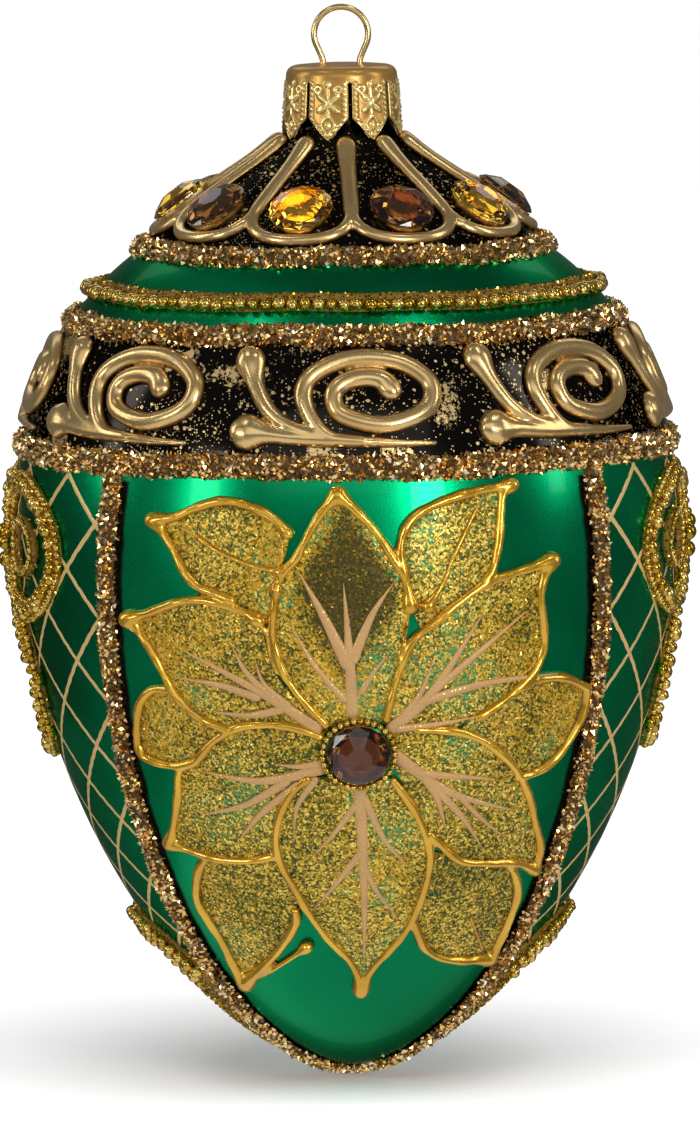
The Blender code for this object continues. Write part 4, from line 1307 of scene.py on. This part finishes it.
def gel_stroke(shells, marks, width, knob_start, knob_end, turn):
    """A squeezed line of gel, with a knob where the nozzle rested."""
    line = smooth_path(marks, GEL_STEP)
    path, normals = on_front(line, 0.0, turn)
    along = np.arange(len(path)) * GEL_STEP
    half = width / 2 * (1 + 0.10 * np.sin(along * 0.9 + marks[0][0]) + 0.05 * np.sin(along * 2.3))
    for knob, away in ((knob_start, along), (knob_end, along[-1] - along)):
        if knob:
            half = half + np.maximum(knob - half, 0) * np.exp(-(away / (knob * 1.05)) ** 2)
    shells.sweep(path, normals, half * MM, (0.62 + half * 0.85) * MM, sides=9)


def make_flower(name, petals, veins, turn, sizes, colours, fine, replaced, replaced_setting):
    """Glittered petals with gel outlines and painted veins, laid over one another in layers."""
    sheets, gel, paint = Shells(), Shells(), Shells()
    line = sizes.gel_line / MM
    for layer, first, second, closing, knobs, others in petals.values():
        petal_sheet(sheets, second[::-1] + first[1:] + closing, LAYER_LIFT + LAYER_STEP * layer, turn)
        gel_stroke(gel, first, line, knobs[0], knobs[1], turn)
        if len(second) > 1:
            gel_stroke(gel, second, line, knobs[0], knobs[2], turn)
        for marks, width, knob in others:
            gel_stroke(gel, marks, width, 0.0, knob, turn)
    for start, bend, end, width in veins:
        path, normals = on_front(smooth_path([start, bend, end], 0.4), LAYER_LIFT + LAYER_STEP * 2, turn)
        taper = (1 - np.linspace(0.25, 0.97, len(path)) ** 2) * 1.1
        paint.sweep(path, normals, width * 0.62 * MM * taper, (0.36 + 0.05 * taper) * MM, sides=6,
                    sink=0.2 * MM)
    bed, fleck = SHOP.ask(petal_bed, colours), SHOP.ask(petal_fleck, colours)
    size = (sizes.sliver, sizes.sliver * 0.22, sizes.sliver * 0.2)
    field = crumbed(sheets.build(f"{name}_glitter"), sizes.sliver_spacing * fine, size, bed, fleck, 51,
                    0.4, False)
    fit(field, "petal_gold", replaced)
    fit(melted(gel.build(f"{name}_gel_lines"), 0.17 * MM, 8, SHOP.ask(gel_gold, colours)), "petal_gold")
    fit(paint.build(f"{name}_veins", SHOP.ask(vein_paint, colours)), "petal_gold")
    azimuth = PANEL_TURN + turn
    centre, ahead, aside, normal = seat(azimuth, FLOWER_Z)
    radius = CENTRE_STONE / 2 + sizes.setting_bead / 2 + 0.05 * MM
    angle = full_turn(60)[:, None]
    ring = centre + (ahead * np.cos(angle) + aside * np.sin(angle)) * radius + normal * 0.95 * MM
    beads = beaded(f"{name}_setting", [(ring, True)], sizes.setting_bead, sizes.setting_bead / 2,
                   SHOP.ask(bead_gold, colours))
    fit(beads, "bead_gold", replaced_setting)


def make_flowers(sizes, colours):
    make_flower("poinsettia", PETALS, VEINS, 0.0, sizes, colours, 1.0, "poinsettia_front", "front_setting")
    petals, veins = back_petals()
    make_flower("back_poinsettia", petals, veins, math.pi, sizes, colours, 1.25, "poinsettia_back",
                "back_setting")


# Stones

FLARE_STONE = 8.4 * MM
FLARE_STONE_HEIGHT = 2.6 * MM
CUP_SINK = -0.5 * MM


def seat(azimuth, z):
    """The foot of a piece that stands on the glass: its middle, its two directions along the glass and its
    normal."""
    middle, normal = on_glass(azimuth, z)
    ahead = np.array([math.cos(azimuth), math.sin(azimuth), 0.0])
    return middle, ahead, np.cross(normal, ahead), normal


def cut_rings(shells, place, rings, spin):
    """Rings of (radius, height, sides, half steps) sewn together with triangles, and closed at both ends."""
    middle, ahead, aside, normal = place
    points, loops = [], []
    for radius, height, sides, half in rings:
        turns = [spin + 2 * math.pi * (k + half / 2) / sides for k in range(sides)]
        loops.append([(turn, len(points) + k) for k, turn in enumerate(turns)])
        for turn in turns:
            across = ahead * math.cos(turn) + aside * math.sin(turn)
            points.append(middle + radius * across + normal * height)
    faces = [tuple(c for _, c in loops[0]), tuple(c for _, c in loops[-1])]
    for near, far in zip(loops, loops[1:]):
        i = j = 0
        while i < len(near) or j < len(far):
            a, b = near[i % len(near)][1], far[j % len(far)][1]
            next_near = near[(i + 1) % len(near)][0] + 2 * math.pi * ((i + 1) // len(near))
            next_far = far[(j + 1) % len(far)][0] + 2 * math.pi * ((j + 1) // len(far))
            if j >= len(far) or (i < len(near) and next_near <= next_far + 1e-9):
                i += 1
                faces.append((a, near[i % len(near)][1], b))
            else:
                j += 1
                faces.append((a, far[j % len(far)][1], b))
    shells.add(np.array(points), faces)


def make_stones(colours):
    """Foiled stones: a cut crown over a shallow back that sits in a cup of mirror foil."""
    pitch = 2 * math.pi / RIBS
    places = []
    for k in range(RIBS):
        azimuth = RIB_TURN - pitch / 2 + k * pitch
        places.append((f"flare_stone_{k + 1:02d}", azimuth, STONE_Z - 0.3 * MM, FLARE_STONE,
                       FLARE_STONE_HEIGHT, k % 2 == 0))
    for side, turn in (("front", 0.0), ("back", math.pi)):
        places.append((f"{side}_stone", PANEL_TURN + turn, FLOWER_Z, CENTRE_STONE, CENTRE_HEIGHT, False))
    kinds = {True: ("amber_stones", "amber_stone", "Amber_Glass", colours.amber),
             False: ("topaz_stones", "brown_stone", "Topaz_Glass", colours.topaz)}
    for amber, (name, slot, finish, tint) in kinds.items():
        stones, cups, nodes = Shells(), Shells(), []
        for node, azimuth, z, width, height, is_amber in places:
            if is_amber != amber:
                continue
            nodes.append(node)
            place, r = seat(azimuth, z), width / 2
            cut_rings(stones, place, [(r * 0.42, height, 8, 1), (r * 0.88, height * 0.66, 8, 1),
                                      (r, height * 0.46, 16, 0), (r, height * 0.38, 16, 0),
                                      (r * 0.55, height * 0.12, 8, 1), (r * 0.04, height * 0.06, 8, 1)],
                      azimuth)
            cut_rings(cups, place, [(r * 0.04, height * 0.02, 8, 1), (r * 0.56, height * 0.07, 8, 1),
                                    (r * 0.97, height * 0.31, 16, 0), (r * 0.99, height * 0.31, 16, 0),
                                    (r * 0.99, CUP_SINK, 16, 0), (r * 0.04, CUP_SINK, 16, 0)], azimuth)
        fit(stones.build(name, SHOP.ask(cut_glass, finish, tuple(tint)), smooth=False), slot, *nodes)
        fit(cups.build(f"{name}_cups", SHOP.ask(stone_foil, colours), smooth=False), "bead_gold")


# Side panels

TRELLIS_STEP = math.radians(17)
TRELLIS_LEAN = 1.04
TRELLIS_CROSSING = (math.radians(-57), RIM_Z - 26.9 * MM)


def level(z):
    """How far a line of steady slant has turned at a height, for a slant of 45 degrees."""
    fine = OUTLINE[:-2]
    run = np.linalg.norm(np.diff(fine, axis=0), axis=1) / ((fine[1:, 0] + fine[:-1, 0]) / 2)
    total = np.concatenate([[0], np.cumsum(run)])
    return np.interp(-np.asarray(z), -fine[:, 1], total)


def swag_height(share):
    return SWAG_Z - SWAG_DIP * share * share


def side_room(z, margin):
    """Half the angle of a side panel at a height, less a margin along the glass."""
    return math.pi / 2 - half_panel(z) - margin / glass_at(z)[0]


def make_trellis(sizes, colours):
    """Two families of slanting lines over each side panel, down to its swag."""
    shells = Shells()
    z = np.linspace(BRAID_TOP_Z + 0.4 * MM, SWAG_Z - SWAG_DIP, 150)
    turned = TRELLIS_LEAN * (level(z) - level(TRELLIS_CROSSING[1]))
    for side in (LEFT, RIGHT):
        centre = PANEL_TURN + side * math.pi / 2
        for hand in (LEFT, RIGHT):
            for k in range(-12, 13):
                start = TRELLIS_CROSSING[0] if side == LEFT else 2 * PANEL_TURN - TRELLIS_CROSSING[0]
                azimuth = start + k * TRELLIS_STEP + hand * turned
                share = (azimuth - centre) / side_room(z, 1.4 * MM)
                inside = (np.abs(share) < 1) & (z > swag_height(np.clip(share, -1, 1)) + 1.2 * MM)
                runs = np.flatnonzero(np.diff(np.concatenate([[0], inside.astype(int), [0]])))
                for a, b in zip(runs[::2], runs[1::2]):
                    if b - a > 4:
                        path, normals = on_glass(azimuth[a:b], z[a:b])
                        shells.sweep(path, normals, sizes.trellis_line / 2, 0.10 * MM, sides=5,
                                     sink=0.08 * MM)
    fit(shells.build("painted_trellis", SHOP.ask(trellis_paint, colours)), "petal_gold")


JEWEL_LOOP = 10.4 * MM
JEWEL_HALF_HEIGHT = 8.2 * MM
JEWEL_BAND = 2.9 * MM
DROP_LENGTH = 24.0 * MM
DROP_SPREAD = 7.5 * MM
DROP_KNOBS = 9
FINE_CRUMB = (0.4 * MM,) * 3
CRUST_CRUMB = (0.5 * MM,) * 3


def ball(middle, radius):
    profile = [(radius * math.sin(a), -radius * math.cos(a)) for a in np.linspace(0, math.pi, 9)]
    points, faces = lathe(profile, 12)
    return points + middle, faces


def offset_line(path, normals, aside, lift, closed=True):
    """A line beside a path that lies on the glass."""
    tangent = np.roll(path, -1, 0) - np.roll(path, 1, 0) if closed else np.gradient(path, axis=0)
    side = unit(np.cross(normals, tangent))
    return path + side * aside + normals * lift


def make_side_jewels(sizes, colours):
    """A bow of two beaded loops over a beaded drop, on each side panel."""
    bead = sizes.jewel_bead
    radius = glass_at(JEWEL_Z)[0]
    for name, side in (("left", LEFT), ("right", RIGHT)):
        centre = PANEL_TURN + side * math.pi / 2

        def laid(across, up):
            return on_glass(centre + across / radius, JEWEL_Z + up)

        shells, knobs, rows, small = Shells(), Shells(), [], []
        turn = full_turn(72)
        for hand in (LEFT, RIGHT):
            for share, band in ((1.0, JEWEL_BAND / 2), (0.4, 0.7 * MM)):
                across = hand * (JEWEL_LOOP * (1 + share * np.cos(turn)) + 0.2 * MM)
                lean = 1 - 0.18 * np.cos(turn)
                path, normals = laid(across, JEWEL_HALF_HEIGHT * share * np.sin(turn) * lean)
                shells.sweep(path, normals, band, 1.0 * MM, closed=True)
                if share == 1.0:
                    rows.append((offset_line(path, normals, 0.0, 0.9 * MM), True))
                    small += [(offset_line(path, normals, s * 1.15 * MM, 0.5 * MM), True)
                              for s in (LEFT, RIGHT)]
                else:
                    small.append((offset_line(path, normals, 0.0, 0.9 * MM), True))
        up = -DROP_LENGTH / 2 + DROP_LENGTH / 2 * np.cos(turn)
        across = DROP_SPREAD * (1 - 0.3 * np.cos(turn)) * np.sin(turn)
        path, normals = laid(across, up - 3.0 * MM)
        shells.sweep(path, normals, 1.1 * MM, 0.9 * MM, closed=True)
        rows.append((offset_line(path, normals, 0.0, 1.0 * MM), True))
        small.append((offset_line(path, normals, 0.9 * MM, 0.7 * MM), True))
        path, normals = laid(np.zeros(20), np.linspace(4.2 * MM, -4.2 * MM, 20))
        shells.sweep(path, normals, np.linspace(2.4, 1.2, 20) * MM, 1.3 * MM)
        small += [(offset_line(path, normals, s * MM, 1.1 * MM, False), False) for s in (-1.0, 0.0, 1.0)]
        for across, height in ((0.0, 1.2), (-2.2, 0.0), (2.2, 0.0), (0.0, -2.4)):
            spot, normal = laid(across * MM, height * MM)
            knobs.add(*ball(spot + normal * 1.4 * MM, bead * 0.6))
        for k in range(DROP_KNOBS):
            along = 2 * math.pi * (k + 0.5) / DROP_KNOBS
            low = -3.0 * MM - DROP_LENGTH / 2 + DROP_LENGTH / 2 * math.cos(along)
            out = DROP_SPREAD * (1 - 0.3 * math.cos(along)) * math.sin(along) * 1.22
            spot, normal = laid(out, low)
            knobs.add(*ball(spot + normal * 0.6 * MM, bead * 0.42))
        base = gold_crumbed(shells.build("jewel_bed"), 0.5 * MM, FINE_CRUMB, colours, 61)
        gold = SHOP.ask(bead_gold, colours)
        parts = [base, beaded("jewel_rows", rows, bead * 0.86, bead * 0.5, gold, 2, 0.3, 0.15 * MM),
                 beaded("jewel_edges", small, bead * 0.5, bead * 0.25, gold, 3, 0.2, 0.04 * MM),
                 knobs.build("jewel_knobs", gold)]
        fit(joined(f"{name}_beaded_jewel", parts), "bead_gold", f"side_jewel_{name}")


SWAG_WIDTH = 4.0 * MM


def make_swags(sizes, colours):
    """Two strands of beads that arch over the foot of each side panel, and the gilt crust below them."""
    bead = sizes.jewel_bead
    for name, side in (("left", LEFT), ("right", RIGHT)):
        centre = PANEL_TURN + side * math.pi / 2
        share = np.linspace(-1, 1, 60)
        z = swag_height(share)
        path, normals = on_glass(centre + share * side_room(z, 3.4 * MM), z)
        shells = Shells()
        shells.sweep(path, normals, SWAG_WIDTH / 2, 0.8 * MM)
        base = gold_crumbed(shells.build("swag_bed"), 0.5 * MM, FINE_CRUMB, colours, 71)
        lines = [(offset_line(path, normals, s * 0.95 * MM, 1.0 * MM, False), False) for s in (LEFT, RIGHT)]
        beads = beaded("swag_beads", lines, bead * 0.8, bead * 0.44, SHOP.ask(bead_gold, colours), 5, 0.3,
                       0.12 * MM)
        fit(joined(f"{name}_bead_swag", [base, beads]), "bead_gold", f"side_swag_{name}")
        crust = Shells()
        columns, down = 40, 26
        rows = []
        for v in np.linspace(0, 1, down):
            z = swag_height(np.linspace(-1, 1, columns)) * (1 - v) + (TIP_Z + 1.2 * MM) * v
            across = np.linspace(-1, 1, columns) * np.maximum(side_room(z, 1.6 * MM), 0.02)
            rows.append((centre + across, z))
        azimuth, z = (np.array(part).ravel() for part in zip(*rows))
        faces = []
        for r in range(down - 1):
            for c in range(columns - 1):
                a = r * columns + c
                faces += [(a, a + columns + 1, a + 1), (a, a + columns, a + columns + 1)]
        crust.plate(on_glass(azimuth, z, 0.45 * MM)[0], on_glass(azimuth, z, -0.05 * MM)[0], faces)
        crust = gold_crumbed(crust.build(f"{name}_gilt_crust"), 0.6 * MM, CRUST_CRUMB, colours, 81)
        fit(crust, "glitter")


# Cap and wire

CAP_LOW, CAP_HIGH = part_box("cap")
CAP_FOOT_Z = CAP_LOW.z - 0.6 * MM
CAP_TOP_Z = CAP_HIGH.z - 0.9 * MM
CAP_TABS = 8
CAP_TAB_TURN = math.radians(-14)
CAP_RADIUS = 7.8 * MM
CAP_SIDE_RADIUS = 7.2 * MM
CAP_TOP_RADIUS = 5.9 * MM
CAP_DOME = 0.3 * MM
CAP_SHOULDER = 1.3 * MM
CAP_METAL = 0.4 * MM
TAB_POINT = 2.9 * MM
TAB_SLIT = 0.6 * MM
SLIT_START = 1.9 * MM
TAB_COLUMNS = 29


def hump(distance, reach):
    """1 where a distance is nothing, falling smoothly to 0 at its reach."""
    share = np.clip(np.abs(distance) / reach, 0, 1)
    return (1 - share * share) ** 2


def tab_pattern(x, y, half):
    """Height of the stamped pattern of one tab, from 0 to 1. x runs across from its middle and y down from
    its top, in millimetres, and half is its half width there."""
    edge = half - np.abs(x)
    pattern = hump(edge - 0.45, 0.3) * (0.5 + 0.5 * np.cos(2 * math.pi * y / 0.66)) * (y > -0.6)
    pattern = np.maximum(pattern, 0.45 * hump(edge - 0.08, 0.14) * (y > -0.6))
    for lean in (-1, 1):
        slant = math.radians(52) * lean
        along = x * math.sin(slant) + (y - 2.5) * math.cos(slant)
        across = x * math.cos(slant) - (y - 2.5) * math.sin(slant)
        leaf = np.maximum(1 - (np.abs(along) - 0.95) ** 2 / 0.9, 0) * 0.42 + 0.02
        pattern = np.maximum(pattern, hump(across, leaf) * (np.abs(along) < 1.9))
        curl = np.hypot(x - lean * 1.35, y - 0.75)
        pattern = np.maximum(pattern, 0.85 * hump(curl - 0.42, 0.2))
    pattern = np.maximum(pattern, hump(x, 0.16) * (y > 0.6) * (y < 4.3))
    pattern = np.maximum(pattern, hump(np.hypot(x, (y - 0.1) * 0.8), 0.5))
    drop = np.hypot(x / 0.48, (y - 5.35) / 0.72)
    pattern = np.maximum(pattern, hump(drop, 1.0))
    diamond = np.abs(x) / 0.95 + np.abs(y - 5.3) / 1.35 - 1
    return np.maximum(pattern, 0.8 * hump(diamond, 0.2))


def make_cap(sizes, colours):
    """The stamped crown: a domed top that runs into eight embossed tabs with pointed ends."""
    dome = [(r, CAP_TOP_Z + CAP_DOME * (1 - (r / CAP_TOP_RADIUS) ** 2))
            for r in np.linspace(0, CAP_TOP_RADIUS, 8)]
    shoulder_z = CAP_TOP_Z - CAP_SHOULDER
    shoulder = [(CAP_TOP_RADIUS + (CAP_SIDE_RADIUS - CAP_TOP_RADIUS) * math.sin(a),
                 shoulder_z + CAP_SHOULDER * math.cos(a)) for a in np.linspace(0, math.pi / 2, 14)[1:]]
    side = [(CAP_SIDE_RADIUS + (CAP_RADIUS - CAP_SIDE_RADIUS) * s, shoulder_z + (CAP_FOOT_Z - shoulder_z) * s)
            for s in np.linspace(0, 1, 44)[1:]]
    profile = np.array(dome + shoulder + side)
    step = unit(np.gradient(profile, axis=0))
    share = np.linspace(-1, 1, TAB_COLUMNS)
    slit_z = CAP_TOP_Z - SLIT_START
    points, faces, heights = [], [], []
    for tab in range(CAP_TABS):
        middle = CAP_TAB_TURN + tab * 2 * math.pi / CAP_TABS
        first = len(points)
        for (radius, z), (dr, dz) in zip(profile, step):
            half = math.pi / CAP_TABS
            if z < slit_z:
                half -= TAB_SLIT / 2 / radius
            if z < CAP_FOOT_Z + TAB_POINT:
                half *= max((z - CAP_FOOT_Z) / TAB_POINT, 0.0) ** 0.92
            width = half * radius / MM
            raised = tab_pattern(share * width, np.full_like(share, (shoulder_z - z) / MM - 0.8), width)
            raised *= np.clip((radius - CAP_TOP_RADIUS) / (0.9 * MM), 0, 1)
            angle = middle + share * half
            reach = radius + raised * sizes.emboss * -dz
            lift = z + raised * sizes.emboss * dr
            points += np.stack([reach * np.sin(angle), -reach * np.cos(angle), lift], 1).tolist()
            heights += raised.tolist()
        for r in range(len(profile) - 1):
            for c in range(TAB_COLUMNS - 1):
                a = first + r * TAB_COLUMNS + c
                faces.append((a, a + 1, a + TAB_COLUMNS + 1, a + TAB_COLUMNS))
    mesh = bpy.data.meshes.new("stamped_cap")
    mesh.from_pydata(points, [], faces)
    mesh.attributes.new("height", "FLOAT", "POINT").data.foreach_set("value", heights)
    shell = bmesh.new()
    shell.from_mesh(mesh)
    bmesh.ops.remove_doubles(shell, verts=shell.verts, dist=0.002 * MM)
    bmesh.ops.dissolve_degenerate(shell, edges=shell.edges, dist=0.001 * MM)
    bmesh.ops.recalc_face_normals(shell, faces=shell.faces)
    shell.to_mesh(mesh)
    shell.free()
    mesh.shade_smooth()
    cap = placed("stamped_cap", mesh)
    wall = cap.modifiers.new("Metal", "SOLIDIFY")
    wall.thickness = CAP_METAL
    wall.offset = -1.0
    fit(settled(cap, stamped_gold(colours)), "cap_gold", "cap")


WIRE = 0.8 * MM
WIRE_SIDES = 14
LOOP_RADIUS = 3.5 * MM
LOOP_Z = -3.1 * MM
HALF_LEG = 2.4 * MM
LEG_REACH = 9.6 * MM


def make_wire(colours):
    """The sprung wire: up through the cap, round the loop and down again."""
    foot = NECK_RADIUS - GLASS_WALL - WIRE / 2 - 0.3 * MM
    right = [(foot, CAP_TOP_Z - LEG_REACH), (foot - WIRE / 4, CAP_TOP_Z - LEG_REACH * 0.6),
             (HALF_LEG + 0.3 * MM, CAP_TOP_Z - 1.4 * MM), (HALF_LEG, CAP_TOP_Z),
             (HALF_LEG + 0.05 * MM, CAP_TOP_Z + 0.8 * MM)]
    bend = math.radians(-28)
    angle = np.linspace(bend, math.pi - bend, 40)
    loop = [(LOOP_RADIUS * math.cos(a), LOOP_Z + LOOP_RADIUS * math.sin(a)) for a in angle]
    marks = np.array(right + loop + [(-x, z) for x, z in right[::-1]])
    line = smooth_path(marks, 0.3 * MM)
    path = np.stack([line[:, 0], np.zeros(len(line)), line[:, 1]], 1)
    tangent = unit(np.gradient(path, axis=0))
    depth = np.array([0, 1.0, 0])
    side = np.cross(tangent, depth)
    turn = full_turn(WIRE_SIDES)
    rings = path[:, None] + WIRE / 2 * (side[:, None] * np.cos(turn)[:, None] + depth * np.sin(turn)[:, None])
    last = WIRE_SIDES * (len(path) - 1)
    faces = [(a + c, a + (c + 1) % WIRE_SIDES, a + WIRE_SIDES + (c + 1) % WIRE_SIDES, a + WIRE_SIDES + c)
             for a in range(0, last, WIRE_SIDES) for c in range(WIRE_SIDES)]
    faces += [tuple(range(WIRE_SIDES)), tuple(range(last, last + WIRE_SIDES))]
    shells = Shells()
    shells.add(rings.reshape(-1, 3), faces)
    fit(shells.build("hanging_wire", drawn_wire(colours), sharp=math.radians(60)), "wire_gold", "hanger")


# Stage

CAMERA_RISE = math.radians(5.7)
CAMERA_ROLL = math.radians(0.68)
AIM_Z = -71.6 * MM
AXIS_LEFT_OF_MIDDLE = 2.7 / 1121
FLOOR_GLOW = 0.15
FLOOR_REACH = 30.0
ROOM_GLOW = 0.13
OVERHEAD_LIGHT = 3.1
OVERHEAD_SPREAD = math.radians(64)
OVERHEAD_LEAN = math.radians(28)
OVERHEAD_TILT = math.radians(4)
# Softboxes: name, degrees round from the front, degrees up, metres away, width, height, brightness
SOFTBOXES = (
    ("Front_Window", 28.0, 6.0, 1.25, 0.26, 0.38, 12.0),
    ("Left_Window", -50.0, 8.0, 1.25, 0.24, 0.45, 5.5),
    ("Front_Card", 0.0, 22.0, 2.4, 2.6, 1.2, 0.7),
    ("Table_Card", 0.0, -70.0, 1.0, 2.6, 2.4, 0.5),
    ("Right_Softbox", 78.0, 22.0, 1.2, 0.16, 0.8, 4.6),
    ("Left_Softbox", -92.0, 22.0, 1.2, 0.16, 0.8, 4.0),
    ("High_Left", -60.0, 62.0, 1.4, 0.2, 0.2, 5.0),
    ("High_Right", 48.0, 62.0, 1.4, 0.16, 0.16, 12.0),
    ("Back_Softbox", 180.0, 40.0, 1.3, 1.4, 0.4, 1.0),
)


def make_stage(sizes, colours):
    scene = bpy.context.scene
    scene.view_settings.view_transform = "Standard"
    lens = bpy.data.cameras.new("Camera")
    lens.sensor_width = 36.0
    lens.lens = lens.sensor_width * sizes.camera_distance / sizes.frame_height
    lens.shift_x = AXIS_LEFT_OF_MIDDLE
    lens.clip_start, lens.clip_end = 0.05, 60.0
    camera = placed("Camera", lens)
    back = Vector((0, -math.cos(CAMERA_RISE), math.sin(CAMERA_RISE)))
    camera.location = Vector((0, 0, AIM_Z)) + back * sizes.camera_distance
    camera.rotation_mode = "QUATERNION"
    camera.rotation_quaternion = (-back).to_track_quat("-Z", "Y") @ Quaternion((0, 0, 1), -CAMERA_ROLL)
    scene.camera = camera

    finish = Finish("Pale_Floor", Roughness=0.7, Specular_IOR_Level=0.2, Emission_Strength=FLOOR_GLOW)
    pale = finish.mix(finish.noise(3.0), tuple(colours.floor), (0.93, 0.93, 0.93))
    finish.set("Base Color", pale)
    finish.set("Emission Color", (1.0, 1.0, 1.0))
    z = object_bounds()[0].z - 0.2 * MM
    mesh = bpy.data.meshes.new("floor")
    corners = ((-1, -1), (1, -1), (1, 1), (-1, 1))
    mesh.from_pydata([(x * FLOOR_REACH, y * FLOOR_REACH, z) for x, y in corners], [], [(0, 1, 2, 3)])
    mesh.materials.append(finish.material)
    floor = placed("floor", mesh)
    floor.visible_glossy = floor.visible_shadow = False
    floor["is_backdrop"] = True

    world = bpy.data.worlds.new("Studio")
    world.use_nodes = True
    scene.world = world
    board = Board(world.node_tree)
    world.node_tree.nodes.clear()
    seen = board.add("ShaderNodeLightPath").of("Is Camera Ray")
    near = board.add("ShaderNodeBackground", None, {"Color": (0.97, 0.98, 1.0), "Strength": ROOM_GLOW})
    far = board.add("ShaderNodeBackground", None, {"Color": (1.0, 1.0, 1.0), "Strength": 1.0})
    board.add("ShaderNodeOutputWorld", None, [board.add("ShaderNodeMixShader", None, [seen, near, far])])

    sun = bpy.data.lights.new("Overhead", "SUN")
    sun.energy, sun.angle = OVERHEAD_LIGHT, OVERHEAD_SPREAD
    overhead = placed("Overhead", sun)
    overhead.rotation_euler = (OVERHEAD_LEAN, OVERHEAD_TILT, 0)
    overhead.visible_glossy = False
    for name, azimuth, rise, distance, wide, tall, glow in SOFTBOXES:
        azimuth, rise = math.radians(azimuth), math.radians(rise)
        ahead = Vector((math.sin(azimuth), -math.cos(azimuth), 0))
        away = ahead * math.cos(rise) + Vector((0, 0, math.sin(rise)))
        box = bpy.data.lights.new(name, "AREA")
        box.shape = "RECTANGLE"
        box.size, box.size_y, box.energy = wide, tall, glow * math.pi * wide * tall
        item = placed(name, box)
        item.location = away * distance + Vector((0, 0, AIM_Z))
        item.rotation_euler = away.to_track_quat("Z", "Y").to_euler()


# Operators, one for each piece or group of like pieces

class EGG_OT_glass(bpy.types.Operator):
    """Make the lacquered and enamelled glass"""
    bl_idname = "egg.glass"
    bl_label = "Glass"

    def execute(self, context):
        make_glass(context.scene.egg_colours)
        return {"FINISHED"}


class EGG_OT_flare_web(bpy.types.Operator):
    """Make the gilt ribs and arcs of the flare"""
    bl_idname = "egg.flare_web"
    bl_label = "Flare Web"

    def execute(self, context):
        make_flare_web(context.scene.egg_colours)
        return {"FINISHED"}


class EGG_OT_scrolls(bpy.types.Operator):
    """Make the gilt scrolls of the frieze"""
    bl_idname = "egg.scrolls"
    bl_label = "Scrolls"

    def execute(self, context):
        make_scrolls(context.scene.egg_colours)
        return {"FINISHED"}


class EGG_OT_glitter_bands(bpy.types.Operator):
    """Lay the three glitter bands round the egg"""
    bl_idname = "egg.glitter_bands"
    bl_label = "Glitter Bands"

    def execute(self, context):
        make_glitter_bands(context.scene.egg_sizes, context.scene.egg_colours)
        return {"FINISHED"}


class EGG_OT_panel_braid(bpy.types.Operator):
    """Lay the braid that parts the panels"""
    bl_idname = "egg.panel_braid"
    bl_label = "Panel Braid"

    def execute(self, context):
        make_panel_braid(context.scene.egg_sizes, context.scene.egg_colours)
        return {"FINISHED"}


class EGG_OT_bead_strand(bpy.types.Operator):
    """Lay the bead strand round the shoulder"""
    bl_idname = "egg.bead_strand"
    bl_label = "Bead Strand"

    def execute(self, context):
        make_bead_strand(context.scene.egg_sizes, context.scene.egg_colours)
        return {"FINISHED"}


class EGG_OT_flowers(bpy.types.Operator):
    """Make the front and back poinsettias with the bead rings of their middles"""
    bl_idname = "egg.flowers"
    bl_label = "Poinsettias"

    def execute(self, context):
        make_flowers(context.scene.egg_sizes, context.scene.egg_colours)
        return {"FINISHED"}


class EGG_OT_stones(bpy.types.Operator):
    """Cut and set the stones of the flare and of the flowers"""
    bl_idname = "egg.stones"
    bl_label = "Stones"

    def execute(self, context):
        make_stones(context.scene.egg_colours)
        return {"FINISHED"}


class EGG_OT_side_panels(bpy.types.Operator):
    """Dress the side panels: trellis, beaded jewels, swags and gilt crust"""
    bl_idname = "egg.side_panels"
    bl_label = "Side Panels"

    def execute(self, context):
        make_trellis(context.scene.egg_sizes, context.scene.egg_colours)
        make_side_jewels(context.scene.egg_sizes, context.scene.egg_colours)
        make_swags(context.scene.egg_sizes, context.scene.egg_colours)
        return {"FINISHED"}


class EGG_OT_cap(bpy.types.Operator):
    """Make the stamped cap and its hanging wire"""
    bl_idname = "egg.cap"
    bl_label = "Cap and Wire"

    def execute(self, context):
        make_cap(context.scene.egg_sizes, context.scene.egg_colours)
        make_wire(context.scene.egg_colours)
        return {"FINISHED"}


class EGG_OT_stage(bpy.types.Operator):
    """Set up the floor, the lights and the camera"""
    bl_idname = "egg.stage"
    bl_label = "Stage"

    def execute(self, context):
        make_stage(context.scene.egg_sizes, context.scene.egg_colours)
        return {"FINISHED"}


OPERATORS = (EGG_OT_glass, EGG_OT_flare_web, EGG_OT_scrolls, EGG_OT_glitter_bands, EGG_OT_panel_braid,
             EGG_OT_bead_strand, EGG_OT_flowers, EGG_OT_stones, EGG_OT_side_panels, EGG_OT_cap, EGG_OT_stage)


class EGG_PT_panel(bpy.types.Panel):
    """The ornament's sizes, colours and pieces"""
    bl_idname = "EGG_PT_panel"
    bl_label = "Jewelled Egg"
    bl_space_type = "VIEW_3D"
    bl_region_type = "UI"
    bl_category = "Egg"

    def draw(self, context):
        for group in (context.scene.egg_sizes, context.scene.egg_colours):
            box = self.layout.box()
            for name in group.__annotations__:
                box.prop(group, name)
        for item in OPERATORS:
            self.layout.operator(item.bl_idname)


def register():
    for item in (EggSizes, EggColours, *OPERATORS, EGG_PT_panel):
        bpy.utils.register_class(item)
    bpy.types.Scene.egg_sizes = PointerProperty(type=EggSizes)
    bpy.types.Scene.egg_colours = PointerProperty(type=EggColours)


def unregister():
    del bpy.types.Scene.egg_colours
    del bpy.types.Scene.egg_sizes
    for item in reversed((EggSizes, EggColours, *OPERATORS, EGG_PT_panel)):
        bpy.utils.unregister_class(item)


def main():
    register()
    for item in OPERATORS:
        getattr(bpy.ops.egg, item.bl_idname.split(".")[1])()


if __name__ == "__main__":
    main()
